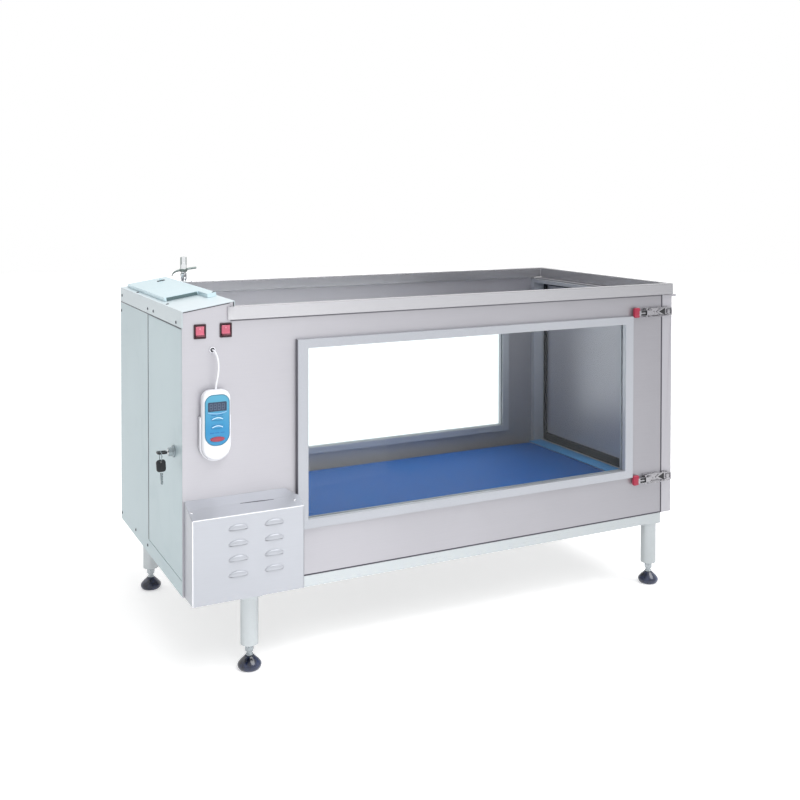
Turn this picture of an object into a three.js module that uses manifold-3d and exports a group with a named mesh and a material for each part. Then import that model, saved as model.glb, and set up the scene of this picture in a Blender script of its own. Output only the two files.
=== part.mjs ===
// Underwater treadmill for dogs: a stainless steel tub with windows, a running belt,
// a machine cabinet at the left end, a hinged door at the right end and four levelling feet.
// Millimetres, +Z up. While it is modelled, X runs from the left end wall to the door, Y from the
// front wall to the rear wall, and Z = 0 is the underside of the body. The finished group is then
// moved so that the origin is the middle of its footprint, on the floor.

import * as THREE from "three";
import { mergeVertices } from "three/addons/utils/BufferGeometryUtils.js";
import Module from "manifold-3d";

const wasm = await Module();
wasm.setup();

// Body
const bodyLength = 1700;
const bodyDepth = 774;
const rimTop = 784.5;
const sheet = 2;
const gap = 0.3;
const overrun = 5;
const doorFlange = 41;
const doorSeam = 1.5;
const roundSides = 20;
const smallSides = 10;

// Rim round the top of the tub
const rimProud = 10;
const rimEndProud = 2;
const rimWidth = 20;
const rimHeight = 36.5;
const rimStart = 134;
const rimCorner = 9;
const rimRoll = 2;

// Underframe, legs and feet
const railWidth = 40;
const railHeight = 31.7;
const railWall = 3;
const frameInsetLeft = 60;
const frameInsetRight = 45;
const legHeight = 243;
const legRadius = 25.35;
const legWall = 2;
const legPlate = 3;
const legPlateReach = 30;
const legFromFace = 27;
const frontLeftLeg = 197;
const rearLeftLeg = 91;
const rightLegFromEnd = 74;
const legBottomHeight = 71;
const legPlug = 12;
const footRadius = 34;
const footDisc = 15;
const footDome = 36;
const footShoulder = 27;
const footNutRadius = 13;
const footStemRadius = 8;
const footStemInside = 62;
const stemClearance = 0.4;

// Windows
const windowLeft = 328;
const windowFromRight = 175;
const windowBottom = 139;
const windowTopDrop = 103.5;
const frameBar = 32;
const frameBarHeight = 26;
const frameProud = 14;
const frameInside = 20;
const frameStep = 12;
const frameLip = 10;
const glassThickness = 10;
const glassInset = 4;

// Cabinet cover and its lid
const coverLeftDrop = 8.5;
const coverRightRise = 14.5;
const coverRight = 148;
const coverSide = 45;
const lidMargin = 16;
const lidRightMargin = 5;
const lidFront = 246;
const lidTongueFront = 150;
const lidTongueWidth = 26;
const lidRearMargin = 46;
const lidRise = 12;
const lidHatchInset = 24;
const lidHingeRadius = 4;
const lidKnuckle = 24;
const lidPinRadius = 1.5;

// Cabinet end wall and its access door
const accessFront = 6;
const accessRear = 382.5;
const accessBottom = 44;
const accessSeam = 1.8;
const accessFlange = 14;
const accessPivotX = 3.4;
const accessPivotInset = 3;
const pivotPinRadius = 2;
const pivotPinLength = 8;
const endWallReturn = 22;
const strikeWidth = 14;

// Lock and keys
const lockY = 87;
const lockBelowMiddle = 5.45;
const lockRadius = 9;
const lockHeadRadius = 16.5;
const lockHeadDepth = 8;
const lockDepth = 22;
const plugRadius = 6;
const camReach = 74;
const camWidth = 14;
const camThickness = 2;
const keyBladeReach = 11;
const keyBladeWidth = 8;
const keyBladeThickness = 2;
const keyBow = 29;
const keyBowWidth = 26;
const keyThickness = 7;
const keyHole = 4.6;
const keyHoleOut = 41;
const keyHoleSide = 6;
const spareBow = 36;
const spareBlade = 32;
const ringRadius = 13;
const ringWire = 1;
const ringDrop = 7;
const ringSide = 9.8;
const ringSteps = 18;
const ringSides = 6;

// Switches
const switchColumns = [49, 121.5];
const switchDrop = 64.5;
const switchWidth = 34;
const switchHeight = 40;
const bezelWall = 4.5;
const bezelProud = 4;
const bezelDepth = 22;
const rockerClearance = 0.8;
const rockerProud = 3.5;
const rockerPivot = 4;
const rockerBack = 9;

// Handset, its holder and its cord
const handsetX = 87;
const handsetBelowGrommet = 106;
const handsetHeight = 191;
const handsetWidth = 79;
const handsetCorner = 24;
const handsetLowerCorner = 38;
const handsetBackY = -6;
const handsetDepth = 28;
const holderWall = 3;
const holderHeight = 121.5;
const holderDepth = 18;
const holderBack = 4;
const labelWidth = 67;
const labelHeight = 137;
const labelRise = 42;
const labelThickness = 1;
const labelCorner = 20;
const labelLowerCorner = 30;
const upRise = 115;
const downRise = 93;
const speedHalf = [17.5, 4.5];
const stopRise = 59;
const stopHalf = [20, 6.5];
const buttonProud = 2;
const buttonDepth = 2;
const buttonTravel = 0.9;
const grommetX = 83.5;
const grommetBelowSwitch = 52;
const grommetRadius = 10;
const grommetProud = 4;
const cordDiameter = 5;
const cordSides = 8;
const cordSteps = 24;

// Drive box on the front wall
const boxLeft = 5;
const boxRight = 320;
const boxRightAtWall = 292;
const boxProud = 80;
const boxFrontHeight = 230;
const boxRidgeY = -35;
const boxRidgeHeight = 247;
const boxWallHeight = 262;
const louvreColumns = [131, 233];
const louvreRows = 4;
const louvreFirstRow = 66;
const louvrePitch = 42;
const louvreHalfWidth = 30;
const louvreHalfHeight = 10;
const louvreProud = 6;
const louvreSheet = 1.2;
const louvreAround = 12;
const louvreDown = 6;
const unitRadius = 1;

// Drive
const rollerRadius = 35;
const rollerShaft = 10;
const rollerZ = 53;
const driveRollerX = 240;
const idlerFromEnd = 110;
const beltThickness = 4;
const beltMargin = 60;
const motorX = 75;
const motorZ = 130;
const motorRadius = 60;
const motorStart = 24;
const motorLength = 200;
const motorFootWidth = 100;
const motorFootLength = 150;
const motorShaft = 9;
const shaftInMotor = 40;
const motorPulleyRadius = 30;
const rollerPulleyRadius = 43;
const pulleyFlange = 4;
const pulleyFlangeWidth = 2;
const pulleyFront = -62;
const pulleyBack = -36;
const pulleyBoss = 4;
const driveBeltThickness = 3;
const shaftHole = 14;
const runningClearance = 0.3;
const beltCurveSteps = 8;

// Deck under the belt
const deckRail = 14;
const deckRailPast = 45;
const deckRailTop = 86;
const deckPlateThickness = 8;

// Bulkhead, doorway frame and floor
const bulkheadX = 143;
const doorwayFrameDepth = 48;
const doorwayFrameFace = 12;
const jamb = 18;
const sillHeight = 88;
const headerHeight = 14;
const frameToFlange = 2;
const gasketSill = 30;
const gasketJamb = 12;
const gasketBehind = 12;
const doorTopDrop = 2;
const lipReach = 19;
const lipThickness = 7;

// Door hinge
const hingePin = 2.5;
const hingeKnuckle = 6;
const hingeOffset = 7;
const hingeLeaf = 36;
const hingeBottom = 60;
const hingeTopDrop = 46;
const hingeKnuckles = 5;
const knuckleRelief = 9;

// Toggle latches
const upperLatchDrop = 94.5;
const lowerLatchHeight = 125;
const latchPivotX = -62.5;
const latchPivotY = -11;
const bailPivotReach = 14;
const latchBaseLeft = -84;
const latchBaseRight = -18;
const latchBaseHalf = 17;
const latchBasePlate = 2;
const earSpan = 11.5;
const earThickness = 2;
const earHalf = 7;
const earBaseHalf = 11;
const leverHalf = 8.5;
const leverFront = -17;
const leverBack = -5;
const gripLeft = -130.5;
const gripHalf = 15;
const latchPin = 2;
const bailWire = 4;
const bailHalf = 16;
const bailReach = 32;
const hookStart = 16;
const hookEnd = 24;
const hookTip = 31;
const hookHeight = 8.5;
const hookLip = 2;
const hookHalf = 7;
const catchPlateStart = 4;
const catchPlateEnd = 38;

// Faucet on the rear rim
const faucetX = 213;
const faucetPlateHalf = 30;
const faucetPlateHeight = 4;
const faucetColumn = 9.5;
const faucetBulge = 12.5;
const faucetBulgeStart = 10;
const faucetBulgeEnd = 30;
const faucetLeverHeight = 36;
const faucetLeverRing = 10;
const faucetTopRadius = 8;
const faucetTopStart = 60;
const faucetHeight = 88;
const leverSpanLeft = 40;
const leverSpanRight = 45;
const leverBladeWidth = 11;
const leverBladeThickness = 3;
const leverRingRadius = 14;
const leverSag = 22;
const leverRise = 6;

// Pump and controller inside the cabinet
const pumpX = 76;
const pumpFromRear = 144;
const pumpLength = 190;
const pumpRadius = 52;
const pumpZ = 110;
const voluteRadius = 66;
const voluteLength = 46;
const pumpFootWidth = 90;
const controllerDepth = 78;
const controllerWidth = 190;
const controllerHeight = 230;
const controllerFront = 150;
const controllerTopDrop = 124.5;

// Places worked out from the sizes above
const bodyEnd = bodyLength - doorFlange - doorSeam;
const doorStart = bodyLength - doorFlange;
const seamX = (bodyEnd + doorStart) / 2;
const rimBottom = rimTop - rimHeight;
const wallTop = rimTop - sheet - gap;
const innerFront = sheet + gap;
const innerRear = bodyDepth - sheet - gap;
const doorTop = rimBottom - doorTopDrop;
const floorLevel = -legHeight;
const railTop = -gap;
const railBottom = railTop - railHeight;
const windowRight = bodyLength - windowFromRight;
const windowTop = rimTop - windowTopDrop;
const coverLeftHeight = rimTop - coverLeftDrop;
const coverRightHeight = rimTop + coverRightRise;
const endWallTop = coverLeftHeight - coverSide - gap;
const accessTop = endWallTop - sheet - accessSeam;
const lidRear = bodyDepth - lidRearMargin;
const lockZ = (accessBottom + accessTop) / 2 - lockBelowMiddle;
const switchZ = rimTop - switchDrop;
const grommetZ = switchZ - grommetBelowSwitch;
const handsetTop = grommetZ - handsetBelowGrommet;
const handsetBottom = handsetTop - handsetHeight;
const latchHeights = [rimTop - upperLatchDrop, lowerLatchHeight];
const hingeHeight = doorTop - hingeTopDrop - hingeBottom;
const pumpStart = bodyDepth - pumpFromRear - pumpLength;
const controllerBottom = rimTop - controllerTopDrop - controllerHeight;

// Colours and finishes
function finish(color, roughness, metalness) {
  return new THREE.MeshStandardMaterial({ color, roughness, metalness });
}
const steel = finish(0xc9c8ce, 0.35, 0.85);
const brightSteel = finish(0xdfe1e6, 0.2, 0.95);
const coverSteel = finish(0xdde8ea, 0.35, 0.6);
const blackPlastic = finish(0x15161c, 0.35, 0);
const whitePlastic = finish(0xf0f1f4, 0.4, 0);
const labelBlue = finish(0x3ca0d7, 0.45, 0);
const redPlastic = finish(0xd02f45, 0.4, 0);
const rubber = finish(0x1c1d20, 0.8, 0);
const beltBlue = finish(0x235596, 0.7, 0);
const glassClear = finish(0xa8cfe0, 0.05, 0);
glassClear.transparent = true;
glassClear.opacity = 0.35;
const motorGrey = finish(0x4c5560, 0.5, 0.4);
const casingWhite = finish(0xd9dadd, 0.5, 0);
const footBlack = finish(0x1a1b20, 0.4, 0.2);

// Turns a closed geometry into a solid, with its faces pointing out.
function solid(geometry) {
  const bare = geometry.clone();
  bare.deleteAttribute("normal");
  bare.deleteAttribute("uv");
  const merged = mergeVertices(bare);
  const points = merged.getAttribute("position").array;
  const index = merged.getIndex().array;
  const faces = [];
  let volume = 0;
  const corner = (i) => new THREE.Vector3().fromArray(points, 3 * i);
  for (let i = 0; i < index.length; i += 3) {
    const [a, b, c] = [index[i], index[i + 1], index[i + 2]];
    if (a === b || b === c || c === a) continue;
    faces.push([a, b, c]);
    volume += corner(a).dot(corner(b).cross(corner(c)));
  }
  const turned = volume < 0 ? faces.map(([a, b, c]) => [a, c, b]) : faces;
  return new wasm.Manifold(new wasm.Mesh({
    numProp: 3,
    vertProperties: new Float32Array(points),
    triVerts: new Uint32Array(turned.flat()),
  }));
}

function join(...solids) {
  return solids.reduce((whole, piece) => whole.add(piece));
}

// A block between two places on each axis.
function block([x0, x1], [y0, y1], [z0, z1]) {
  const geometry = new THREE.BoxGeometry(x1 - x0, y1 - y0, z1 - z0);
  geometry.translate((x0 + x1) / 2, (y0 + y1) / 2, (z0 + z1) / 2);
  return solid(geometry);
}

// Lays a geometry that was drawn along +Z along another axis instead. A drawing for the x axis
// is in (y, z), one for the y axis in (x, z) and one for the z axis in (x, y).
function lay(geometry, axis, [from, to]) {
  if (axis === "z") return geometry.translate(0, 0, from);
  if (axis === "y") return geometry.rotateX(Math.PI / 2).translate(0, to, 0);
  const cyclic = new THREE.Matrix4().makeBasis(
    new THREE.Vector3(0, 1, 0), new THREE.Vector3(0, 0, 1), new THREE.Vector3(1, 0, 0));
  return geometry.applyMatrix4(cyclic).translate(from, 0, 0);
}

// A prism of an outline, which is a list of points or a shape with arcs.
function prismGeometry(outline, axis, span, curveSegments = 3) {
  const shape = outline instanceof THREE.Shape
    ? outline
    : new THREE.Shape(outline.map(([a, b]) => new THREE.Vector2(a, b)));
  const depth = span[1] - span[0];
  const geometry = new THREE.ExtrudeGeometry(shape, { depth, bevelEnabled: false, curveSegments });
  return lay(geometry, axis, span);
}

function prism(outline, axis, span, curveSegments) {
  return solid(prismGeometry(outline, axis, span, curveSegments));
}

// A round bar along an axis; the place is given on the two other axes, in X, Y, Z order.
function rod(radius, axis, span, [a, b], sides = roundSides) {
  const outline = new THREE.Shape().absarc(a, b, radius, 0, 2 * Math.PI, false);
  return prism(outline, axis, span, sides / 2);
}

// A body turned about the vertical through (x, y), from [radius, height] points.
function turned(profile, x, y, sides = roundSides) {
  const points = profile.map(([radius, height]) => new THREE.Vector2(radius, height));
  const geometry = new THREE.LatheGeometry(points, sides);
  return solid(geometry.rotateX(Math.PI / 2).translate(x, y, 0));
}

// A rectangle with round corners about a centre.
function roundedRectangle(x, y, width, height, corner) {
  const shape = new THREE.Shape();
  const [right, top] = [width / 2 - corner, height / 2 - corner];
  shape.absarc(x + right, y + top, corner, 0, Math.PI / 2, false);
  shape.absarc(x - right, y + top, corner, Math.PI / 2, Math.PI, false);
  shape.absarc(x - right, y - top, corner, Math.PI, 1.5 * Math.PI, false);
  shape.absarc(x + right, y - top, corner, 1.5 * Math.PI, 2 * Math.PI, false);
  return shape;
}

// A standing outline with round upper corners and rounder lower ones, from its bottom up.
function tallOutline(x, bottom, width, height, upper, lower) {
  const shape = new THREE.Shape();
  const top = bottom + height;
  shape.absarc(x + width / 2 - upper, top - upper, upper, 0, Math.PI / 2, false);
  shape.absarc(x - width / 2 + upper, top - upper, upper, Math.PI / 2, Math.PI, false);
  shape.absarc(x - width / 2 + lower, bottom + lower, lower, Math.PI, 1.5 * Math.PI, false);
  shape.absarc(x + width / 2 - lower, bottom + lower, lower, 1.5 * Math.PI, 2 * Math.PI, false);
  return shape;
}

// The outline of a band round two wheels, each given as [a, b, radius].
function loopOutline([a1, b1, r1], [a2, b2, r2]) {
  const along = Math.atan2(b2 - b1, a2 - a1);
  const spread = Math.acos((r1 - r2) / Math.hypot(a2 - a1, b2 - b1));
  const shape = new THREE.Shape();
  shape.absarc(a1, b1, r1, along + spread, along + 2 * Math.PI - spread, false);
  shape.absarc(a2, b2, r2, along - spread, along + spread, false);
  return shape;
}

const treadmill = new THREE.Group();

// Adds one named piece, with its place when its shape was made about its own origin.
function add(name, shape, material, place = [0, 0, 0]) {
  const { vertProperties, triVerts } = shape.getMesh();
  const geometry = new THREE.BufferGeometry();
  geometry.setAttribute("position", new THREE.BufferAttribute(vertProperties, 3));
  geometry.setIndex(new THREE.BufferAttribute(triVerts, 1));
  geometry.computeVertexNormals();
  const mesh = new THREE.Mesh(geometry, material);
  mesh.name = name;
  mesh.position.set(...place);
  treadmill.add(mesh);
  return mesh;
}

// Underframe: a welded ring of inverted channel with one cross rail, and four tube legs under it.
const frameLeft = frameInsetLeft;
const frameRight = bodyLength - frameInsetRight;
const crossRail = (frameLeft + frameRight) / 2;

function railBars(inset, zSpan) {
  const [near, far] = [inset, railWidth - inset];
  const lengthwise = [frameLeft + near, frameRight - near];
  const across = [near, bodyDepth - near];
  return join(
    block(lengthwise, [near, far], zSpan),
    block(lengthwise, [bodyDepth - far, bodyDepth - near], zSpan),
    block([frameLeft + near, frameLeft + far], across, zSpan),
    block([frameRight - far, frameRight - near], across, zSpan),
    block([crossRail - railWidth / 2 + near, crossRail + railWidth / 2 - near], across, zSpan),
  );
}

const legBottom = floorLevel + legBottomHeight;
const legPlaces = [
  ["front_left", frontLeftLeg, legFromFace],
  ["rear_left", rearLeftLeg, bodyDepth - legFromFace],
  ["front_right", bodyLength - rightLegFromEnd, legFromFace],
  ["rear_right", bodyLength - rightLegFromEnd, bodyDepth - legFromFace],
];

function leg(x, y) {
  const plate = block(
    [x - legPlateReach, x + legPlateReach],
    [y - legFromFace, y + legFromFace],
    [railBottom - legPlate, railBottom + gap],
  );
  const tube = rod(legRadius, "z", [legBottom, railBottom - legPlate / 2], [x, y]);
  const bore = rod(legRadius - legWall, "z", [legBottom + legPlug, railBottom - legPlate], [x, y]);
  const thread = rod(footStemRadius + stemClearance, "z",
    [legBottom - overrun, legBottom + legPlug + overrun], [x, y]);
  return join(plate, tube).subtract(bore).subtract(thread);
}

const grooves = railBars(railWall, [railBottom - overrun, railTop - railWall]);
const rails = railBars(0, [railBottom, railTop]).subtract(grooves);
add("underframe", join(rails, ...legPlaces.map(([, x, y]) => leg(x, y))), steel);

// Levelling feet: a threaded stem with a hexagon collar, on a domed swivel cup.
function foot() {
  const stemTop = legBottomHeight + footStemInside;
  const collarTop = legBottomHeight - gap;
  return turned([
    [0, 0], [footRadius - sheet, 0], [footRadius, sheet], [footRadius, footDisc],
    [footShoulder, footDome - sheet * 2], [footNutRadius, footDome], [footNutRadius, collarTop],
    [footStemRadius, collarTop], [footStemRadius, stemTop], [0, stemTop],
  ], 0, 0);
}
for (const [corner, x, y] of legPlaces) {
  add(`foot_${corner}`, foot(), footBlack, [x, y, floorLevel]);
}

// Front and rear walls: one sheet each, with the window opening.
const cut = {
  left: windowLeft + frameStep,
  right: windowRight - frameStep,
  bottom: windowBottom + frameStep,
  top: windowTop - frameStep,
};

function coverHeightAt(x) {
  const slope = (coverRightHeight - coverLeftHeight) / coverRight;
  return coverLeftHeight + slope * x;
}

function wallSheet(ySpan) {
  const underCover = (x) => coverHeightAt(x) - sheet - 2 * gap;
  const notchLeft = rimStart - gap;
  const notchRight = rimStart + sheet + gap;
  const outline = [
    [0, 0], [bodyEnd, 0], [bodyEnd, wallTop], [notchRight, wallTop],
    [notchRight, rimBottom - gap], [notchLeft, rimBottom - gap],
    [notchLeft, underCover(notchLeft)], [sheet + gap, underCover(sheet + gap)],
    [sheet + gap, coverLeftHeight - coverSide - gap], [0, coverLeftHeight - coverSide - gap],
  ];
  const opening = block([cut.left, cut.right], [ySpan[0] - overrun, ySpan[1] + overrun],
    [cut.bottom, cut.top]);
  return prism(outline, "y", ySpan).subtract(opening);
}

let frontWall = wallSheet([0, sheet]);
const throughFront = [-overrun, sheet + overrun];
for (const x of switchColumns) {
  const [halfWidth, halfHeight] = [switchWidth / 2 - bezelWall / 2, switchHeight / 2 - bezelWall / 2];
  frontWall = frontWall.subtract(block([x - halfWidth - gap, x + halfWidth + gap], throughFront,
    [switchZ - halfHeight - gap, switchZ + halfHeight + gap]));
}
const grommetNeck = grommetRadius - sheet;
frontWall = frontWall
  .subtract(rod(grommetNeck + gap, "y", throughFront, [grommetX, grommetZ], smallSides))
  .subtract(rod(shaftHole, "y", throughFront, [motorX, motorZ]))
  .subtract(rod(shaftHole, "y", throughFront, [driveRollerX, rollerZ]));
add("front_wall", frontWall, steel);
add("rear_wall", wallSheet([bodyDepth - sheet, bodyDepth]), steel);

// Floor of the body, and the bulkhead between the cabinet and the tub.
add("floor_pan", block([innerFront, bodyEnd - gap], [innerFront, innerRear], [0, sheet]), steel);
const bulkhead = [bulkheadX, bulkheadX + sheet];
add("bulkhead", block(bulkhead, [innerFront, innerRear], [sheet + gap, wallTop]), steel);

// Doorway frame: the tub's open end, whose neck the door closes over.
const neckEnd = bodyLength - doorwayFrameFace;
const doorwayFrameStart = neckEnd - doorwayFrameDepth;
const neckStart = bodyEnd - gap;
const doorway = {
  front: innerFront + frameToFlange + jamb,
  rear: innerRear - frameToFlange - jamb,
  bottom: sillHeight,
  top: doorTop - sheet - frameToFlange - headerHeight,
};
const neckFront = innerFront + frameToFlange;
const neckRear = innerRear - frameToFlange;
const neckTop = doorTop - sheet - frameToFlange;
const neckBottom = sheet + frameToFlange;
const doorwayFrame = join(
  block([doorwayFrameStart, neckStart], [innerFront, innerRear], [sheet + gap, neckTop]),
  block([doorwayFrameStart, neckEnd], [neckFront, neckRear], [neckBottom, neckTop]),
)
  .subtract(block([doorwayFrameStart - overrun, neckEnd + overrun], [doorway.front, doorway.rear],
    [doorway.bottom, doorway.top]))
  .subtract(block([doorwayFrameStart + railWall, neckEnd - railWall],
    [doorway.front, doorway.rear], [-overrun, sillHeight - railWall]));
add("doorway_frame", doorwayFrame, brightSteel);

// Rim: one continuous channel round the top of the tub, with a rolled top edge.
const rimLeft = rimStart;
const rimRight = bodyLength + rimEndProud;

function rimBlock(inset, heights, corner) {
  const width = rimRight - rimLeft - 2 * inset;
  const depth = bodyDepth + 2 * rimProud - 2 * inset;
  const outline = roundedRectangle((rimLeft + rimRight) / 2, bodyDepth / 2, width, depth, corner);
  return prism(outline, "z", heights, 2);
}

function rimBand(inset, heights) {
  const opening = [heights[0] - overrun, heights[1] + overrun];
  return rimBlock(inset, heights, rimCorner).subtract(
    rimBlock(rimWidth - inset, opening, rimCorner / 2));
}
const rim = join(
  rimBand(0, [rimBottom, rimTop - rimRoll]),
  rimBand(rimRoll / 2, [rimTop - rimRoll - gap, rimTop]),
).subtract(rimBand(sheet, [rimBottom - overrun, rimTop - sheet]));
add("rim_rail", rim, brightSteel);

// Cabinet end wall, with the opening for the access door, its returns and the lock's strike.
const accessOpening = {
  y: [accessFront - accessSeam, accessRear + accessSeam],
  z: [accessBottom - accessSeam, accessTop + accessSeam],
};
const pivotY = accessRear - accessPivotInset;
const pivotHole = pivotPinRadius + gap;
const returnX = [sheet / 2, endWallReturn];
function accessReturn(zSpan) {
  return block(returnX, [accessOpening.y[0], accessOpening.y[1] + sheet], zSpan);
}
const lowerReturn = [accessOpening.z[0] - sheet, accessOpening.z[0]];
const upperReturn = [accessOpening.z[1], accessOpening.z[1] + sheet];
const strikeX = [endWallReturn - sheet, endWallReturn];
const strike = join(
  block(returnX, [innerFront, accessOpening.y[0]], [lowerReturn[0], upperReturn[1]]),
  block(strikeX, [innerFront, accessOpening.y[0] + strikeWidth], [lowerReturn[0], upperReturn[1]]),
);
const endWall = block([0, sheet], [innerFront, innerRear], [0, endWallTop])
  .subtract(block([-overrun, sheet + overrun], accessOpening.y, accessOpening.z))
  .add(join(accessReturn(lowerReturn), accessReturn(upperReturn), strike))
  .subtract(rod(pivotHole, "z", [lowerReturn[0] - overrun, upperReturn[1] + overrun],
    [accessPivotX, pivotY], smallSides));
add("cabinet_end_wall", endWall, coverSteel);

// Access door: a folded tray on two pivot pins, which swings out on the end wall.
const trayInside = block([sheet, accessFlange + overrun], [accessFront + sheet, accessRear - sheet],
  [accessBottom + sheet, accessTop - sheet]);
const lowerPin = [accessBottom - accessSeam - sheet, accessBottom + pivotPinLength];
const upperPin = [accessTop - pivotPinLength, accessTop + accessSeam + sheet];
const accessDoor = block([0, accessFlange], [accessFront, accessRear], [accessBottom, accessTop])
  .subtract(trayInside)
  .add(rod(pivotPinRadius, "z", lowerPin, [accessPivotX, pivotY], smallSides))
  .add(rod(pivotPinRadius, "z", upperPin, [accessPivotX, pivotY], smallSides))
  .subtract(rod(lockRadius + gap, "x", [-overrun, sheet + overrun], [lockY, lockZ]));
add("access_door", accessDoor, coverSteel);

// Lock of the access door: a barrel, and the key in its plug, which turns the cam behind the strike.
const headFace = -gap - lockHeadDepth;
const lockBarrel = join(
  rod(lockHeadRadius, "x", [headFace, -gap], [lockY, lockZ]),
  rod(lockRadius, "x", [headFace / 2, lockDepth], [lockY, lockZ]),
).subtract(rod(plugRadius + gap, "x", [headFace - overrun, lockDepth + overrun], [lockY, lockZ]));
add("lock_barrel", lockBarrel, brightSteel);

const bowStart = headFace - keyBladeReach;
const camX = [lockDepth + gap, lockDepth + gap + camThickness];
const doorKey = join(
  rod(plugRadius, "x", [headFace, camX[1]], [lockY, lockZ]),
  block(camX, [lockY - camWidth / 2, lockY + camWidth / 2], [lockZ - camWidth / 2, lockZ + camReach]),
  block([bowStart - gap, headFace + sheet], [lockY - keyBladeWidth / 2, lockY + keyBladeWidth / 2],
    [lockZ - keyBladeThickness / 2, lockZ + keyBladeThickness / 2]),
  block([bowStart - keyBow, bowStart], [lockY - keyBowWidth / 2, lockY + keyBowWidth / 2],
    [lockZ - keyThickness / 2, lockZ + keyThickness / 2]),
).subtract(rod(keyHole, "z", [lockZ - keyThickness, lockZ + keyThickness],
  [-keyHoleOut, lockY - keyHoleSide], smallSides));
add("door_key", doorKey, blackPlastic);

// The spare key hangs on a split ring through the bow of the first.
const ringY = lockY - keyHoleSide - ringSide;
const ringZ = lockZ - ringDrop;
const ringGeometry = new THREE.TorusGeometry(ringRadius, ringWire, ringSides, ringSteps);
ringGeometry.rotateY(Math.PI / 2).translate(-keyHoleOut, ringY, ringZ);
const spareHole = ringZ - ringRadius;
const spareTop = spareHole + keyHole;
const spareKey = join(
  block([-keyHoleOut - keyBowWidth / 2, -keyHoleOut + keyBowWidth / 2],
    [ringY - keyThickness / 2, ringY + keyThickness / 2], [spareTop - spareBow, spareTop]),
  block([-keyHoleOut - keyBladeWidth / 2, -keyHoleOut + keyBladeWidth / 2],
    [ringY - keyBladeThickness / 2, ringY + keyBladeThickness / 2],
    [spareTop - spareBow - spareBlade, spareTop - spareBow + sheet]),
).add(solid(ringGeometry));
add("spare_key", spareKey, blackPlastic);

// Cabinet cover: a bent sheet that rises to the right, with a hatch under its lid.
const coverSlope = Math.atan2(coverRightHeight - coverLeftHeight, coverRight);
function onCover(geometry) {
  return solid(geometry.rotateY(-coverSlope).translate(0, 0, coverLeftHeight));
}
const lidLeft = lidMargin;
const lidRight = coverRight - lidRightMargin;
const hatch = onCover(prismGeometry([
  [lidLeft + lidHatchInset, lidFront + lidHatchInset],
  [lidRight - lidHatchInset, lidFront + lidHatchInset],
  [lidRight - lidHatchInset, lidRear - lidHatchInset],
  [lidLeft + lidHatchInset, lidRear - lidHatchInset],
], "z", [-overrun, overrun]));
const hingeY = lidRear + lidHingeRadius + gap;
const hingeZ = lidHingeRadius + 2 * gap;
function lidKnuckleAt(from, to, radius) {
  const outline = new THREE.Shape().absarc(hingeY, hingeZ, radius, 0, 2 * Math.PI, false);
  return onCover(prismGeometry(outline, "x", [from, to], smallSides / 2));
}
const cover = prism([
  [0, coverLeftHeight - coverSide], [0, coverLeftHeight], [coverRight, coverRightHeight],
  [coverRight, rimTop + gap], [coverRight - sheet, rimTop + gap],
  [coverRight - sheet, coverHeightAt(coverRight - sheet) - sheet],
  [sheet, coverHeightAt(sheet) - sheet], [sheet, coverLeftHeight - coverSide],
], "y", [0, bodyDepth]).subtract(hatch);
function knuckleArm([from, to], [near, far], heights) {
  return onCover(prismGeometry([[from, near], [to, near], [to, far], [from, far]], "z", heights));
}
const innerKnuckles = [lidLeft + lidKnuckle, lidRight - lidKnuckle];
const coverWithHinge = join(
  cover,
  knuckleArm(innerKnuckles, [hingeY, hingeY + lidHingeRadius], [-sheet / 2, hingeZ]),
  lidKnuckleAt(innerKnuckles[0], innerKnuckles[1], lidHingeRadius),
).subtract(lidKnuckleAt(innerKnuckles[0] - overrun, innerKnuckles[1] + overrun, lidPinRadius + gap));
add("cabinet_cover", coverWithHinge, coverSteel);

// Service lid: a shallow raised lid over the hatch, with a tongue at its right front corner.
function lidOutline(inset) {
  const tongueLeft = lidRight - lidTongueWidth;
  return [
    [lidLeft + inset, lidFront + inset], [tongueLeft + inset, lidFront + inset],
    [tongueLeft + inset, lidTongueFront + inset], [lidRight - inset, lidTongueFront + inset],
    [lidRight - inset, lidRear - inset], [lidLeft + inset, lidRear - inset],
  ];
}
const lidShell = onCover(prismGeometry(lidOutline(0), "z", [2 * gap, lidRise]))
  .subtract(onCover(prismGeometry(lidOutline(sheet), "z", [-overrun, lidRise - sheet])));
const armReach = [lidRear - sheet, hingeY];
const armHeights = [2 * gap, hingeZ];
const lid = join(
  lidShell,
  knuckleArm([lidLeft, innerKnuckles[0] - gap], armReach, armHeights),
  knuckleArm([innerKnuckles[1] + gap, lidRight], armReach, armHeights),
  lidKnuckleAt(lidLeft, innerKnuckles[0] - gap, lidHingeRadius),
  lidKnuckleAt(innerKnuckles[1] + gap, lidRight, lidHingeRadius),
  lidKnuckleAt(lidLeft, lidRight, lidPinRadius),
);
add("service_lid", lid, coverSteel);

// Windows: toughened glass held in a frame that stands proud outside and shows inside.
function windowRing(inset, ySpan, holeInset) {
  const hole = frameBar;
  return block([windowLeft + inset, windowRight - inset], ySpan,
    [windowBottom + inset, windowTop - inset])
    .subtract(block([windowLeft + hole - holeInset, windowRight - hole + holeInset],
      [ySpan[0] - overrun, ySpan[1] + overrun],
      [windowBottom + frameBarHeight - holeInset, windowTop - frameBarHeight + holeInset]));
}

function mirrorSpan([near, far]) {
  return [bodyDepth - far, bodyDepth - near];
}

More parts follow.
